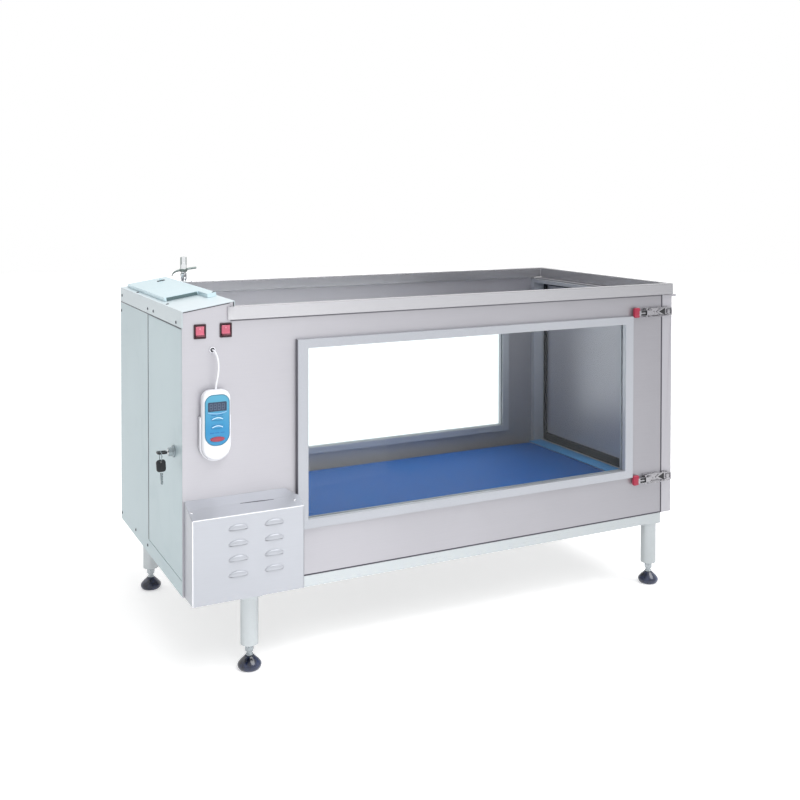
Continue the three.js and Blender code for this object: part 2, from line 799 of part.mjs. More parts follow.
const glassSpan = [glassInset, glassInset + glassThickness];
for (const [side, place] of [["front", (span) => span], ["rear", mirrorSpan]]) {
  const frame = join(
    windowRing(0, place([-frameProud, -gap]), 0),
    windowRing(frameStep + gap, place([-gap - sheet, frameInside]), 0),
    windowRing(frameStep - frameLip, place([sheet + gap, frameInside]), 0),
  );
  const glassBlock = (clearance) => {
    const besideBar = frameBar - frameLip - clearance;
    const overBar = frameBarHeight - frameLip - clearance;
    return block(
      [windowLeft + besideBar, windowRight - besideBar],
      place([glassSpan[0] - clearance, glassSpan[1] + clearance]),
      [windowBottom + overBar, windowTop - overBar],
    );
  };
  add(`${side}_window_frame`, frame.subtract(glassBlock(gap)), brightSteel);
  add(`${side}_glass`, glassBlock(0), glassClear);
}

// End door: a folded tray that closes over the neck, with a pull lip along its top edge.
const doorInside = block([doorStart - overrun, bodyLength - sheet], [sheet, bodyDepth - sheet],
  [sheet, doorTop - sheet]);
const pullLip = block([bodyLength - sheet, bodyLength + lipReach], [0, bodyDepth],
  [doorTop - lipThickness, doorTop]);
const doorTray = block([doorStart, bodyLength], [0, bodyDepth], [0, doorTop]).subtract(doorInside);
add("end_door", doorTray.add(pullLip), steel);

const gasketX = [neckEnd + gap, bodyLength - sheet - gap];
const gasket = block(gasketX, [doorway.front - gasketBehind, doorway.rear + gasketBehind],
  [doorway.bottom - gasketBehind, doorway.top + gasketBehind])
  .subtract(block([gasketX[0] - overrun, gasketX[1] + overrun],
    [doorway.front + gasketJamb, doorway.rear - gasketJamb],
    [doorway.bottom + gasketSill, doorway.top - gasketJamb]));
add("door_gasket", gasket, rubber);

// Door hinge: one long hinge on the rear faces, with alternate knuckles and one pin.
const pinX = seamX;
const pinY = bodyDepth + hingeOffset;
const leafY = [bodyDepth + gap, bodyDepth + gap + sheet];
const knuckleLength = hingeHeight / hingeKnuckles;

function hingeLeafFor(way, first) {
  const near = pinX + way * knuckleRelief;
  const far = pinX + way * hingeLeaf;
  const span = (a, b) => [Math.min(a, b), Math.max(a, b)];
  let leaf = block(span(near, far), leafY, [hingeBottom, hingeBottom + hingeHeight]);
  for (let i = first; i < hingeKnuckles; i += 2) {
    const z = [hingeBottom + i * knuckleLength + gap, hingeBottom + (i + 1) * knuckleLength - gap];
    const neck = block(span(near + way * gap, pinX), leafY, z);
    leaf = leaf.add(neck).add(rod(hingeKnuckle, "z", z, [pinX, pinY]));
  }
  return leaf;
}
const pinSpan = [hingeBottom - gap, hingeBottom + hingeHeight + gap];
const pin = (clearance) => rod(hingePin + clearance, "z",
  [pinSpan[0] - clearance, pinSpan[1] + clearance], [pinX, pinY], smallSides);
add("hinge_leaf_body", hingeLeafFor(-1, 0).add(pin(0)), brightSteel);
add("hinge_leaf_door", hingeLeafFor(1, 1).subtract(pin(gap)), brightSteel);

// Toggle latches across the door's seam, each drawn about the point of the seam it closes.
const latchWall = [-gap - latchBasePlate, -gap];
const plateFace = -gap - latchBasePlate;
const bothEars = (inner, outer) => [[-outer, -inner], [inner, outer]];

function latchBase() {
  const ear = [
    [latchPivotX - earBaseHalf, plateFace + gap], [latchPivotX - earHalf, latchPivotY - earHalf],
    [latchPivotX + earHalf, latchPivotY - earHalf], [latchPivotX + earBaseHalf, plateFace + gap],
  ];
  const ears = bothEars(earSpan - earThickness, earSpan).map((z) => prism(ear, "z", z));
  return join(
    block([latchBaseLeft, latchBaseRight], latchWall, [-latchBaseHalf, latchBaseHalf]),
    ...ears,
    rod(latchPin, "z", [-earSpan, earSpan], [latchPivotX, latchPivotY], smallSides),
  );
}

const bailPivotX = latchPivotX - bailPivotReach;

function latchLever() {
  const body = new THREE.Shape();
  const radius = latchPivotY - leverFront;
  body.absarc(latchPivotX, latchPivotY, radius, -Math.PI / 2, Math.PI / 2, false);
  body.lineTo(gripLeft + gripHalf, leverBack);
  body.lineTo(gripLeft + gripHalf, leverFront);
  const gripRight = bailPivotX - gripHalf;
  return join(
    prism(body, "z", [-leverHalf, leverHalf]),
    block([gripLeft, gripRight], [leverFront + latchPin, leverBack + latchPin], [-gripHalf, gripHalf]),
  )
    .subtract(rod(latchPin + gap, "z", [-gripHalf, gripHalf], [latchPivotX, latchPivotY], smallSides))
    .subtract(rod(latchPin + gap, "z", [-gripHalf, gripHalf], [bailPivotX, latchPivotY], smallSides));
}

function latchBail() {
  const wireY = [latchPivotY - bailWire / 2, latchPivotY + bailWire / 2];
  const arms = bothEars(bailHalf - bailWire, bailHalf).map((z) => block(
    [bailPivotX - bailWire / 2, bailReach + bailWire / 2], wireY, z));
  return join(
    ...arms,
    block([bailReach - bailWire / 2, bailReach + bailWire / 2], wireY, [-bailHalf, bailHalf]),
    rod(latchPin, "z", [-bailHalf + gap, bailHalf - gap], [bailPivotX, latchPivotY], smallSides),
  );
}

function latchCatch() {
  const hook = [
    [hookStart, plateFace + gap], [hookStart, -hookHeight], [hookTip, -hookHeight],
    [hookTip, -hookHeight + hookLip], [hookEnd, -hookHeight + hookLip], [hookEnd, plateFace + gap],
  ];
  return join(
    block([catchPlateStart, catchPlateEnd], latchWall, [-latchBaseHalf + latchBasePlate,
      latchBaseHalf - latchBasePlate]),
    prism(hook, "z", [-hookHalf, hookHalf]),
  );
}

for (const [i, level] of ["upper", "lower"].entries()) {
  const place = [seamX, 0, latchHeights[i]];
  add(`${level}_latch_base`, latchBase(), brightSteel, place);
  add(`${level}_latch_lever`, latchLever(), redPlastic, place);
  add(`${level}_latch_bail`, latchBail(), brightSteel, place);
  add(`${level}_latch_catch`, latchCatch(), brightSteel, place);
}

// Drive box: a sloped shelf on the front wall, and the louvred cover in front of it.
const boxTop = Math.max(boxFrontHeight, boxRidgeHeight, boxWallHeight);
function boxSolid(inset) {
  const plan = [
    [boxLeft + inset, overrun], [boxLeft + inset, -boxProud + inset],
    [boxRight - inset, -boxProud + inset], [boxRight - inset, boxRidgeY],
    [boxRightAtWall - inset, 0], [boxRightAtWall - inset, overrun],
  ];
  const side = [
    [overrun, inset], [-boxProud + inset, inset], [-boxProud + inset, boxFrontHeight - inset],
    [boxRidgeY, boxRidgeHeight - inset], [0, boxWallHeight - inset],
    [overrun, boxWallHeight - inset],
  ];
  return prism(plan.reverse(), "z", [0, boxTop]).intersect(
    prism(side, "x", [boxLeft, boxRight]));
}

function louvre(x, z, inset) {
  const bump = new THREE.SphereGeometry(unitRadius, louvreAround, louvreDown);
  bump.scale(louvreHalfWidth - inset, louvreProud - inset, louvreHalfHeight - inset);
  bump.translate(x, -boxProud, z);
  const lower = block([x - louvreHalfWidth, x + louvreHalfWidth],
    [-boxProud - louvreProud - overrun, -boxProud + louvreProud + overrun],
    [z - louvreHalfHeight - overrun, z - (inset > 0 ? 2 * inset : 0)]);
  return solid(bump).subtract(lower);
}

const boxShell = boxSolid(0).subtract(boxSolid(sheet)).subtract(
  block([0, boxRight], [-gap, 2 * overrun], [-overrun, boxTop + overrun]));
function shelfRegion(clearance) {
  const ridge = boxRidgeY + gap - clearance;
  return prism([
    [ridge, boxRidgeHeight - sheet - clearance], [0, boxWallHeight - sheet - clearance],
    [0, boxTop + overrun], [ridge, boxTop + overrun],
  ], "x", [boxLeft - overrun, boxRight + overrun]);
}
add("drive_box_shelf", boxShell.intersect(shelfRegion(0)), steel);

let louvredCover = boxShell.subtract(shelfRegion(gap));
for (const x of louvreColumns) {
  for (let row = 0; row < louvreRows; row += 1) {
    const z = louvreFirstRow + row * louvrePitch;
    louvredCover = louvredCover.add(louvre(x, z, 0)).subtract(louvre(x, z, louvreSheet));
  }
}
add("louvred_cover", louvredCover, steel);

// Drive: the motor in the cabinet, a toothed belt in the drive box, and the rollers in the tub.
const pulleySpan = [pulleyFront, pulleyBack];

function pulley(x, z, radius) {
  const flange = (y) => rod(radius + pulleyFlange, "y", [y, y + pulleyFlangeWidth], [x, z]);
  return join(
    rod(radius, "y", pulleySpan, [x, z]),
    flange(pulleyFront),
    flange(pulleyBack - pulleyFlangeWidth),
  );
}

const motor = join(
  rod(motorRadius, "y", [motorStart, motorStart + motorLength], [motorX, motorZ]),
  block([motorX - motorFootWidth / 2, motorX + motorFootWidth / 2],
    [motorStart + overrun, motorStart + overrun + motorFootLength], [sheet + gap, motorZ]),
).subtract(rod(motorShaft + runningClearance, "y",
  [motorStart - overrun, motorStart + shaftInMotor + runningClearance], [motorX, motorZ]));
add("drive_motor", motor, motorGrey);

const motorPulley = pulley(motorX, motorZ, motorPulleyRadius).add(
  rod(motorShaft, "y", [pulleyFront - pulleyBoss, motorStart + shaftInMotor], [motorX, motorZ]));
add("motor_pulley", motorPulley, motorGrey);

const driveBeltSpan = [
  pulleyFront + pulleyFlangeWidth + runningClearance,
  pulleyBack - pulleyFlangeWidth - runningClearance,
];
function driveLoop(extra, span) {
  return prism(loopOutline([motorX, motorZ, motorPulleyRadius + extra],
    [driveRollerX, rollerZ, rollerPulleyRadius + extra]), "y", span, beltCurveSteps);
}
const driveBelt = driveLoop(gap + driveBeltThickness, driveBeltSpan).subtract(
  driveLoop(gap, [driveBeltSpan[0] - overrun, driveBeltSpan[1] + overrun]));
add("drive_belt", driveBelt, rubber);

const beltSpan = [beltMargin, bodyDepth - beltMargin];
const deckInner = 2 * sheet;
const frontRail = [beltMargin - deckInner - deckRail, beltMargin - deckInner];
const rearRail = mirrorSpan(frontRail);
const driveRoller = join(
  rod(rollerRadius, "y", beltSpan, [driveRollerX, rollerZ]),
  rod(rollerShaft, "y", [pulleyFront - pulleyBoss, rearRail[1]], [driveRollerX, rollerZ]),
  pulley(driveRollerX, rollerZ, rollerPulleyRadius),
);
add("drive_roller", driveRoller, brightSteel);

const idlerX = bodyLength - idlerFromEnd;
const idlerRoller = join(
  rod(rollerRadius, "y", beltSpan, [idlerX, rollerZ]),
  rod(rollerShaft, "y", [frontRail[0], rearRail[1]], [idlerX, rollerZ]),
);
add("idler_roller", idlerRoller, brightSteel);

function beltLoop(extra, span) {
  return prism(loopOutline([driveRollerX, rollerZ, rollerRadius + extra],
    [idlerX, rollerZ, rollerRadius + extra]), "y", span, beltCurveSteps);
}
const runningBelt = beltLoop(gap + beltThickness, beltSpan).subtract(
  beltLoop(gap, [beltSpan[0] - overrun, beltSpan[1] + overrun]));
add("running_belt", runningBelt, beltBlue);

// Deck: two side rails that carry the roller shafts, and the plate under the belt's upper run.
const shaftBore = (x) => rod(rollerShaft + runningClearance, "y", [0, bodyDepth], [x, rollerZ]);
const railZ = [sheet + gap, deckRailTop];
const deckRailSpan = [driveRollerX - deckRailPast, idlerX + deckRailPast];
const plateFrom = driveRollerX + rollerRadius + rollerShaft;
const plateTo = idlerX - rollerRadius - rollerShaft;
const deck = join(
  block(deckRailSpan, frontRail, railZ),
  block(deckRailSpan, rearRail, railZ),
  block([plateFrom, plateTo], [frontRail[1] - sheet, rearRail[0] + sheet],
    [deckRailTop - deckPlateThickness, deckRailTop]),
).subtract(shaftBore(driveRollerX)).subtract(shaftBore(idlerX));
add("deck", deck, steel);

// Rocker switches: a bezel through the front wall, and a rocker on a pivot inside it.
const pocketHalfWidth = switchWidth / 2 - bezelWall;
const pocketHalfHeight = switchHeight / 2 - bezelWall;

function bezel() {
  const neckHalf = [switchWidth / 2 - bezelWall / 2, switchHeight / 2 - bezelWall / 2];
  return join(
    block([-switchWidth / 2, switchWidth / 2], [-bezelProud, -gap],
      [-switchHeight / 2, switchHeight / 2]),
    block([-neckHalf[0], neckHalf[0]], [-gap - sheet, bezelDepth], [-neckHalf[1], neckHalf[1]]),
  ).subtract(block([-pocketHalfWidth, pocketHalfWidth], [-bezelProud - overrun, bezelDepth - sheet],
    [-pocketHalfHeight, pocketHalfHeight]));
}

function rocker() {
  const halfWidth = pocketHalfWidth - rockerClearance;
  const halfHeight = pocketHalfHeight - 2 * rockerClearance;
  const side = [
    [rockerPivot, -halfHeight], [rockerBack, 0], [rockerPivot, halfHeight],
    [-bezelProud, halfHeight], [-bezelProud + rockerProud / 2, 0],
    [-bezelProud - rockerProud, -halfHeight],
  ];
  return prism(side, "x", [-halfWidth, halfWidth]);
}

for (const [i, side] of ["left", "right"].entries()) {
  const place = [switchColumns[i], 0, switchZ];
  add(`${side}_switch_bezel`, bezel(), blackPlastic, place);
  add(`${side}_switch_rocker`, rocker(), redPlastic, place);
}

// Cable grommet on the front wall, with the handset's cord coming out of it.
const cordRadius = cordDiameter / 2;
const grommet = join(
  rod(grommetRadius, "y", [-grommetProud, -gap], [grommetX, grommetZ]),
  rod(grommetNeck, "y", [-gap - sheet, sheet * 2], [grommetX, grommetZ], smallSides),
);
add("cable_grommet", grommet, whitePlastic);

const cordRoute = [
  [grommetX, -grommetProud - gap, grommetZ],
  [83.6, -11, 668], [84.4, -17, 666.5], [86.4, -22, 662], [88.8, -25.4, 654.5],
  [90.9, -27.4, 645], [92.2, -28.2, 634.5], [92.7, -28, 624], [92.5, -27.1, 613.5],
  [91.6, -25.7, 603], [90.4, -24, 593], [89.1, -22.4, 583.5], [88, -21.1, 575.5], [87.3, -20.3, 569],
  [handsetX, handsetBackY - handsetDepth / 2, handsetTop + gap],
];
const cordPath = new THREE.CatmullRomCurve3(cordRoute.map((point) => new THREE.Vector3(...point)));
const cordSection = new THREE.Shape().absarc(0, 0, cordRadius, 0, 2 * Math.PI, false);
const cordGeometry = new THREE.ExtrudeGeometry(cordSection, {
  steps: cordSteps, extrudePath: cordPath, curveSegments: cordSides / 2,
});
add("handset_cord", solid(cordGeometry), whitePlastic);

// Handset: a holder on the wall, the body, its blue label and three buttons.
function handsetFace(inset, y) {
  const outline = tallOutline(handsetX, handsetBottom + inset, handsetWidth - 2 * inset,
    handsetHeight - 2 * inset, handsetCorner - inset, handsetLowerCorner - inset);
  return prism(outline, "y", y);
}

const holderGap = 2 * gap;
const holderBottom = handsetBottom - holderWall - holderGap;
const holderCut = block([handsetX - handsetWidth, handsetX + handsetWidth],
  [-holderDepth - overrun, overrun], [holderBottom + holderHeight, handsetTop + handsetHeight]);
const holder = handsetFace(-holderWall - holderGap, [-holderDepth, -gap])
  .subtract(handsetFace(-holderGap, [-holderDepth - overrun, -holderBack]))
  .subtract(holderCut);
add("handset_holder", holder, whitePlastic);

const handsetFront = handsetBackY - handsetDepth;
const buttons = {
  up_button: [upRise, speedHalf],
  down_button: [downRise, speedHalf],
  stop_button: [stopRise, stopHalf],
};

function buttonSolid(name, grow, y) {
  const [rise, [halfWidth, halfHeight]] = buttons[name];
  const outline = new THREE.Shape().absellipse(handsetX, handsetBottom + rise,
    halfWidth + grow, halfHeight + grow, 0, 2 * Math.PI);
  return prism(outline, "y", y, smallSides);
}

const labelFront = handsetFront - gap - labelThickness;
const pocketFloor = handsetFront + buttonDepth;
let handset = handsetFace(holderBack / 2, [handsetFront, handsetFront + overrun]).add(
  handsetFace(0, [handsetFront + overrun / 2, handsetBackY]));
const labelShape = tallOutline(handsetX, handsetBottom + labelRise, labelWidth, labelHeight,
  labelCorner, labelLowerCorner);
let label = prism(labelShape, "y", [labelFront, handsetFront - gap]);
for (const name of Object.keys(buttons)) {
  const through = buttonSolid(name, gap, [labelFront - overrun, pocketFloor]);
  handset = handset.subtract(through);
  label = label.subtract(through);
}
add("handset_body", handset, whitePlastic);
add("handset_label", label, labelBlue);
for (const name of Object.keys(buttons)) {
  const face = [labelFront - buttonProud, pocketFloor - buttonTravel - gap];
  add(name, buttonSolid(name, 0, face), name === "stop_button" ? redPlastic : whitePlastic);
}

// Faucet on the rear rim, near the cabinet: a slim column with a curved lever round it.
const faucetY = bodyDepth + rimProud - rimWidth / 2;
const faucetFoot = rimTop + gap;
const faucetPlate = block([faucetX - faucetPlateHalf, faucetX + faucetPlateHalf],
  [faucetY - rimWidth / 2 + rimRoll, faucetY + rimWidth / 2 - rimRoll],
  [faucetFoot, faucetFoot + faucetPlateHeight]);
const column = turned([
  [0, faucetFoot], [faucetColumn - sheet / 2, faucetFoot],
  [faucetColumn - sheet / 2, faucetFoot + faucetBulgeStart],
  [faucetBulge, faucetFoot + faucetBulgeStart + sheet], [faucetBulge, faucetFoot + faucetBulgeEnd],
  [faucetColumn, faucetFoot + faucetBulgeEnd + sheet], [faucetColumn, faucetFoot + faucetTopStart],
  [faucetTopRadius, faucetFoot + faucetTopStart + sheet], [faucetTopRadius, faucetFoot + faucetHeight],
  [0, faucetFoot + faucetHeight],
], faucetX, faucetY);
add("faucet_column", faucetPlate.add(column), brightSteel);

const leverZ = faucetFoot + faucetLeverHeight;
const leverShares = [[-1, -1], [-0.8, -0.5], [-0.5, -0.16], [0, 0]];
const bladeTop = [
  ...leverShares.map(([along, up]) => [along * leverSpanLeft, up * leverSag]),
  [leverSpanRight, leverRise],
];
const bladeOutline = [
  ...bladeTop.map(([along, up]) => [faucetX + along, leverZ + up + faucetLeverRing]),
  ...bladeTop.map(([along, up]) => [faucetX + along, leverZ + up + faucetLeverRing
    - leverBladeThickness]).reverse(),
].reverse();
const lever = join(
  prism(bladeOutline, "y", [faucetY - leverBladeWidth / 2, faucetY + leverBladeWidth / 2]),
  rod(leverRingRadius, "z", [leverZ, leverZ + faucetLeverRing], [faucetX, faucetY]),
).subtract(rod(faucetColumn + runningClearance, "z",
  [leverZ - overrun, leverZ + faucetLeverRing + overrun], [faucetX, faucetY]));
add("faucet_lever", lever, brightSteel);

// Inside the cabinet: the circulation pump on the floor and the controller on the bulkhead.
const pump = join(
  rod(pumpRadius, "y", [pumpStart, pumpStart + pumpLength], [pumpX, pumpZ]),
  rod(voluteRadius, "y", [pumpStart, pumpStart + voluteLength], [pumpX, pumpZ]),
  block([pumpX - pumpFootWidth / 2, pumpX + pumpFootWidth / 2],
    [pumpStart + overrun, pumpStart + pumpLength - overrun], [sheet + gap, pumpZ]),
);
add("circulation_pump", pump, motorGrey);

add("controller", block([bulkheadX - gap - controllerDepth, bulkheadX - gap],
  [controllerFront, controllerFront + controllerWidth],
  [controllerBottom, controllerBottom + controllerHeight]), casingWhite);

// The origin goes to the middle of the footprint, on the floor. The free cord isn't counted.
const extent = new THREE.Box3();
for (const mesh of treadmill.children) {
  if (mesh.name !== "handset_cord") extent.expandByObject(mesh);
}
const middle = extent.getCenter(new THREE.Vector3());
treadmill.position.set(-middle.x, -middle.y, -extent.min.z);

export default treadmill;
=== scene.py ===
import math

import bmesh
import bpy
from mathutils import Matrix, Vector


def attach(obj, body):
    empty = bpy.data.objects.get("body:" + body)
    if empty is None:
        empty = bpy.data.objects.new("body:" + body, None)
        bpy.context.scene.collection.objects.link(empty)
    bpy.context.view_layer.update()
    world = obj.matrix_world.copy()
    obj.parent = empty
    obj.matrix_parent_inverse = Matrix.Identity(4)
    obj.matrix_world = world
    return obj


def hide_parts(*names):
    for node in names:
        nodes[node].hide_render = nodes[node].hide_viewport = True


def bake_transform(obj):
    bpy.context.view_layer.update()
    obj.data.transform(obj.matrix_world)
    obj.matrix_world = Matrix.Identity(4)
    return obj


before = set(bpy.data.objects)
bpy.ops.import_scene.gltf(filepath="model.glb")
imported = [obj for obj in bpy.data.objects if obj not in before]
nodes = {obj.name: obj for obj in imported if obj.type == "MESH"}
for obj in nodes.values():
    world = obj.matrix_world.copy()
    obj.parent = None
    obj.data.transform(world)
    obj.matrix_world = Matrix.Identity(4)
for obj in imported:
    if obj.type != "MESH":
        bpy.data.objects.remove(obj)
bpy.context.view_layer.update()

# Places are given in millimetres: X from the left end wall, Y from the front wall and Z from the
# underside of the body. The row frame has its origin under the middle of the treadmill.
MM = 0.001
ROW_SHIFT = Vector((-832.5, -351.0, 243.0))
FLOOR_LEVEL = -243.0


def at(x, y, z):
    """A place in millimetres as a point of the row frame."""
    return (Vector((x, y, z)) + ROW_SHIFT) * MM


def shift(x, y, z):
    """The matrix of a move."""
    return Matrix.Translation(Vector((x, y, z)))


def add(name, data):
    """A new object in the scene."""
    made = bpy.data.objects.new(name, data)
    bpy.context.scene.collection.objects.link(made)
    return made


def configure(thing, **settings):
    """Sets values on a thing, in their order, and gives it back."""
    for key, value in settings.items():
        setattr(thing, key, value)
    return thing


# Camera
CAMERA_PLACE = at(-745.658, -2790.352, 1114.209)
CAMERA_RIGHT = Vector((0.88971443, -0.45651552, 0.00134908))
CAMERA_UP = Vector((0.00832128, 0.01917206, 0.99978157))
CAMERA_FORWARD = Vector((0.45644166, 0.88950886, -0.02085645))
lens = bpy.data.cameras.new("camera_lens")
lens.sensor_width = 36
lens.lens = 47.3203
lens.shift_x = -0.011067
lens.shift_y = -0.239425
lens.clip_start = 0.05
lens.clip_end = 80
camera = add("camera", lens)
axes = Matrix((CAMERA_RIGHT, CAMERA_UP, -CAMERA_FORWARD)).transposed()
camera.matrix_world = Matrix.Translation(CAMERA_PLACE) @ axes.to_4x4()
bpy.context.scene.camera = camera

# Forms: each maker below gives a mesh in millimetres, and piece() joins and places them.
AXIS_TURNS = {"x": Matrix(((0, 0, 1, 0), (1, 0, 0, 0), (0, 1, 0, 0), (0, 0, 0, 1))),
    "y": Matrix(((1, 0, 0, 0), (0, 0, -1, 0), (0, 1, 0, 0), (0, 0, 0, 1))),
    "z": Matrix.Identity(4)}
SHARP_ANGLE = math.radians(35)
MERGE_DISTANCE = 0.001


def moved(mesh, matrix):
    mesh.transform(matrix)
    return mesh


def mesh_of(vertices, faces):
    mesh = bpy.data.meshes.new("form")
    mesh.from_pydata([tuple(v) for v in vertices], [], faces)
    bm = bmesh.new()
    bm.from_mesh(mesh)
    bmesh.ops.recalc_face_normals(bm, faces=bm.faces)
    bm.to_mesh(mesh)
    bm.free()
    return mesh


def curve_mesh(loops, shape, radius, steps, closed, **settings):
    """The mesh of straight runs through the points of each loop, with round sides."""
    curve = configure(bpy.data.curves.new("form", "CURVE"), dimensions=shape, bevel_depth=radius,
                      bevel_resolution=steps, **settings)
    for loop in loops:
        spline = curve.splines.new("POLY")
        spline.points.add(len(loop) - 1)
        for point, place in zip(spline.points, loop):
            point.co = Vector(place).to_4d()
        spline.use_cyclic_u = closed
    holder = add("form", curve)
    graph = bpy.context.evaluated_depsgraph_get()
    mesh = bpy.data.meshes.new_from_object(holder.evaluated_get(graph))
    bpy.data.objects.remove(holder)
    return mesh


def plate(loops, axis, span, soft, steps=3):
    """A plate of an outline and its holes, with its edges rounded by soft."""
    mesh = curve_mesh(loops, "2D", soft, steps, True, fill_mode="BOTH",
            extrude=(span[1] - span[0]) / 2 - soft, offset=-soft)
    middle = [(span[0] + span[1]) / 2 if name == axis else 0 for name in "xyz"]
    return moved(mesh, shift(*middle) @ AXIS_TURNS[axis])


def tube(points, radius, closed=False, sides=12):
    """A round wire along points."""
    return curve_mesh([points], "3D", radius, sides // 4, closed, use_fill_caps=not closed)


def turns(count):
    """The angles of a full turn in equal steps."""
    return [2 * math.pi * k / count for k in range(count)]


def lathe(profile, axis="z", place=(0, 0, 0), steps=40):
    """A turned form from [radius, distance along the axis] points, about a place."""
    vertices, faces, rings = [], [], []
    for radius, along in profile:
        if rings and (radius, along) == profile[0]:
            rings.append(rings[0])
        elif radius == 0:
            rings.append([len(vertices)] * steps)
            vertices.append((0, 0, along))
        else:
            rings.append(list(range(len(vertices), len(vertices) + steps)))
            vertices += [(radius * math.cos(a), radius * math.sin(a), along) for a in turns(steps)]
    for lower, upper in zip(rings, rings[1:]):
        for k in range(steps):
            after = (k + 1) % steps
            face = list(dict.fromkeys([lower[k], lower[after], upper[after], upper[k]]))
            if len(face) > 2:
                faces.append(face)
    return moved(mesh_of(vertices, faces), shift(*place) @ AXIS_TURNS[axis])


def block(x, y, z, soft, steps=2):
    """A block between two places on each axis, with its edges rounded by soft."""
    bm = bmesh.new()
    bmesh.ops.create_cube(bm, size=1)
    bmesh.ops.scale(bm, vec=Vector([high - low for low, high in (x, y, z)]), verts=bm.verts)
    bmesh.ops.bevel(bm, geom=bm.edges, offset=soft, segments=steps, affect="EDGES", profile=0.5)
    middle = Vector([low + high for low, high in (x, y, z)]) / 2
    bmesh.ops.translate(bm, vec=middle, verts=bm.verts)
    mesh = bpy.data.meshes.new("block")
    bm.to_mesh(mesh)
    bm.free()
    return mesh


def loft(rings):
    """A closed form through rings of the same number of points."""
    count = len(rings[0])
    vertices = [point for ring in rings for point in ring]
    last = len(vertices) - count
    faces = []
    for start in range(0, last, count):
        for k in range(count):
            a, b = start + k, start + (k + 1) % count
            faces.append([a, b, b + count, a + count])
    faces += [list(range(count))[::-1], list(range(last, last + count))]
    return mesh_of(vertices, faces)


def sheet_between(corners, thickness):
    """A flat sheet of four corners, thickened along its normal."""
    a, b, c, d = [Vector(p) for p in corners]
    normal = (b - a).cross(d - a).normalized() * thickness
    return mesh_of([a, b, c, d, a + normal, b + normal, c + normal, d + normal],
            [[0, 1, 2, 3], [7, 6, 5, 4], [0, 4, 5, 1], [1, 5, 6, 2], [2, 6, 7, 3], [3, 7, 4, 0]])


def piece(name, body, material, forms, replaces=None, spot=Matrix.Identity(4)):
    """Joins forms, moved to a spot, into one named piece that rides on a body."""
    bm = bmesh.new()
    for form in forms:
        bm.from_mesh(moved(form, spot))
        bpy.data.meshes.remove(form)
    bmesh.ops.remove_doubles(bm, verts=bm.verts, dist=MERGE_DISTANCE)
    bmesh.ops.translate(bm, vec=ROW_SHIFT, verts=bm.verts)
    bmesh.ops.scale(bm, vec=(MM, MM, MM), verts=bm.verts)
    mesh = bpy.data.meshes.new(name)
    bm.to_mesh(mesh)
    bm.free()
    mesh.shade_smooth()
    mesh.set_sharp_from_angle(angle=SHARP_ANGLE)
    mesh.materials.append(material)
    made = add(name, mesh)
    if body:
        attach(made, body)
    if replaces:
        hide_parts(replaces)
    return made


def about(middle, half):
    """The span that reaches half to either side of a middle."""
    return (middle - half, middle + half)


def arc(centre, radius, start, end, steps=8):
    """Points on an arc of one radius, or of one across and one up, with its angles in degrees."""
    across, up = radius if isinstance(radius, tuple) else (radius, radius)
    angles = [math.radians(start + (end - start) * k / steps) for k in range(steps + 1)]
    return [(centre[0] + across * math.cos(a), centre[1] + up * math.sin(a)) for a in angles]


def rectangle(x, y):
    return [(x[0], y[0]), (x[1], y[0]), (x[1], y[1]), (x[0], y[1])]


def rounded(x, y, corner, steps=6, lower=None):
    """A rectangle with round corners, whose lower ones may have their own radius."""
    lower = lower or corner
    return [*arc((x[1] - corner, y[1] - corner), corner, 0, 90, steps),
        *arc((x[0] + corner, y[1] - corner), corner, 90, 180, steps),
        *arc((x[0] + lower, y[0] + lower), lower, 180, 270, steps),
        *arc((x[1] - lower, y[0] + lower), lower, 270, 360, steps)]


# The handset's cord, from the grommet to the top of the handset.
CORD_DIAMETER = 5
CORD_ROUTE = [
    (83.5, -4.3, 668), (83.6, -11, 668), (84.4, -17, 666.5), (86.4, -22, 662), (88.8, -25.4, 654.5),
    (90.9, -27.4, 645), (92.2, -28.2, 634.5), (92.7, -28, 624), (92.5, -27.1, 613.5),
    (91.6, -25.7, 603), (90.4, -24, 593), (89.1, -22.4, 583.5), (88, -21.1, 575.5),
    (87.3, -20.3, 569), (87, -20, 562.3)]


def smooth_route(points, steps=4):
    """More points on a smooth curve through a route, ends included."""
    places = [Vector(p) for p in points]
    places = [2 * places[0] - places[1], *places, 2 * places[-1] - places[-2]]
    made = []
    for a, b, c, d in zip(places, places[1:], places[2:], places[3:]):
        for k in range(steps):
            t = k / steps
            made.append(0.5 * (2 * b + (c - a) * t + (2 * a - 5 * b + 4 * c - d) * t ** 2
                    + (3 * b - a - 3 * c + d) * t ** 3))
    return [*made, places[-2]]


# Colours and finishes
def tone(code):
    """A colour written as six hexadecimal digits, in Blender's linear values."""
    values = [int(code[k:k + 2], 16) / 255 for k in (0, 2, 4)]
    return (*[v / 12.92 if v < 0.04045 else ((v + 0.055) / 1.055) ** 2.4 for v in values], 1)


def node(tree, kind, inputs=None, **settings):
    """A node with its settings, whose inputs are fed by other sockets or set to constants."""
    made = configure(tree.nodes.new(kind), **settings)
    for label, value in (inputs or {}).items():
        if isinstance(value, bpy.types.NodeSocket):
            tree.links.new(value, made.inputs[label])
        else:
            made.inputs[label].default_value = value
    return made


# These helpers add a node to the tree that their first socket is in.
def maths(operation, first, second):
    return node(first.id_data, "ShaderNodeMath", {0: first, 1: second},
                operation=operation).outputs[0]


def noise(vector, scale, detail, roughness=0.5, distortion=0.0):
    return node(vector.id_data, "ShaderNodeTexNoise", {
        "Vector": vector, "Scale": scale, "Detail": detail, "Roughness": roughness,
        "Distortion": distortion}).outputs["Fac"]


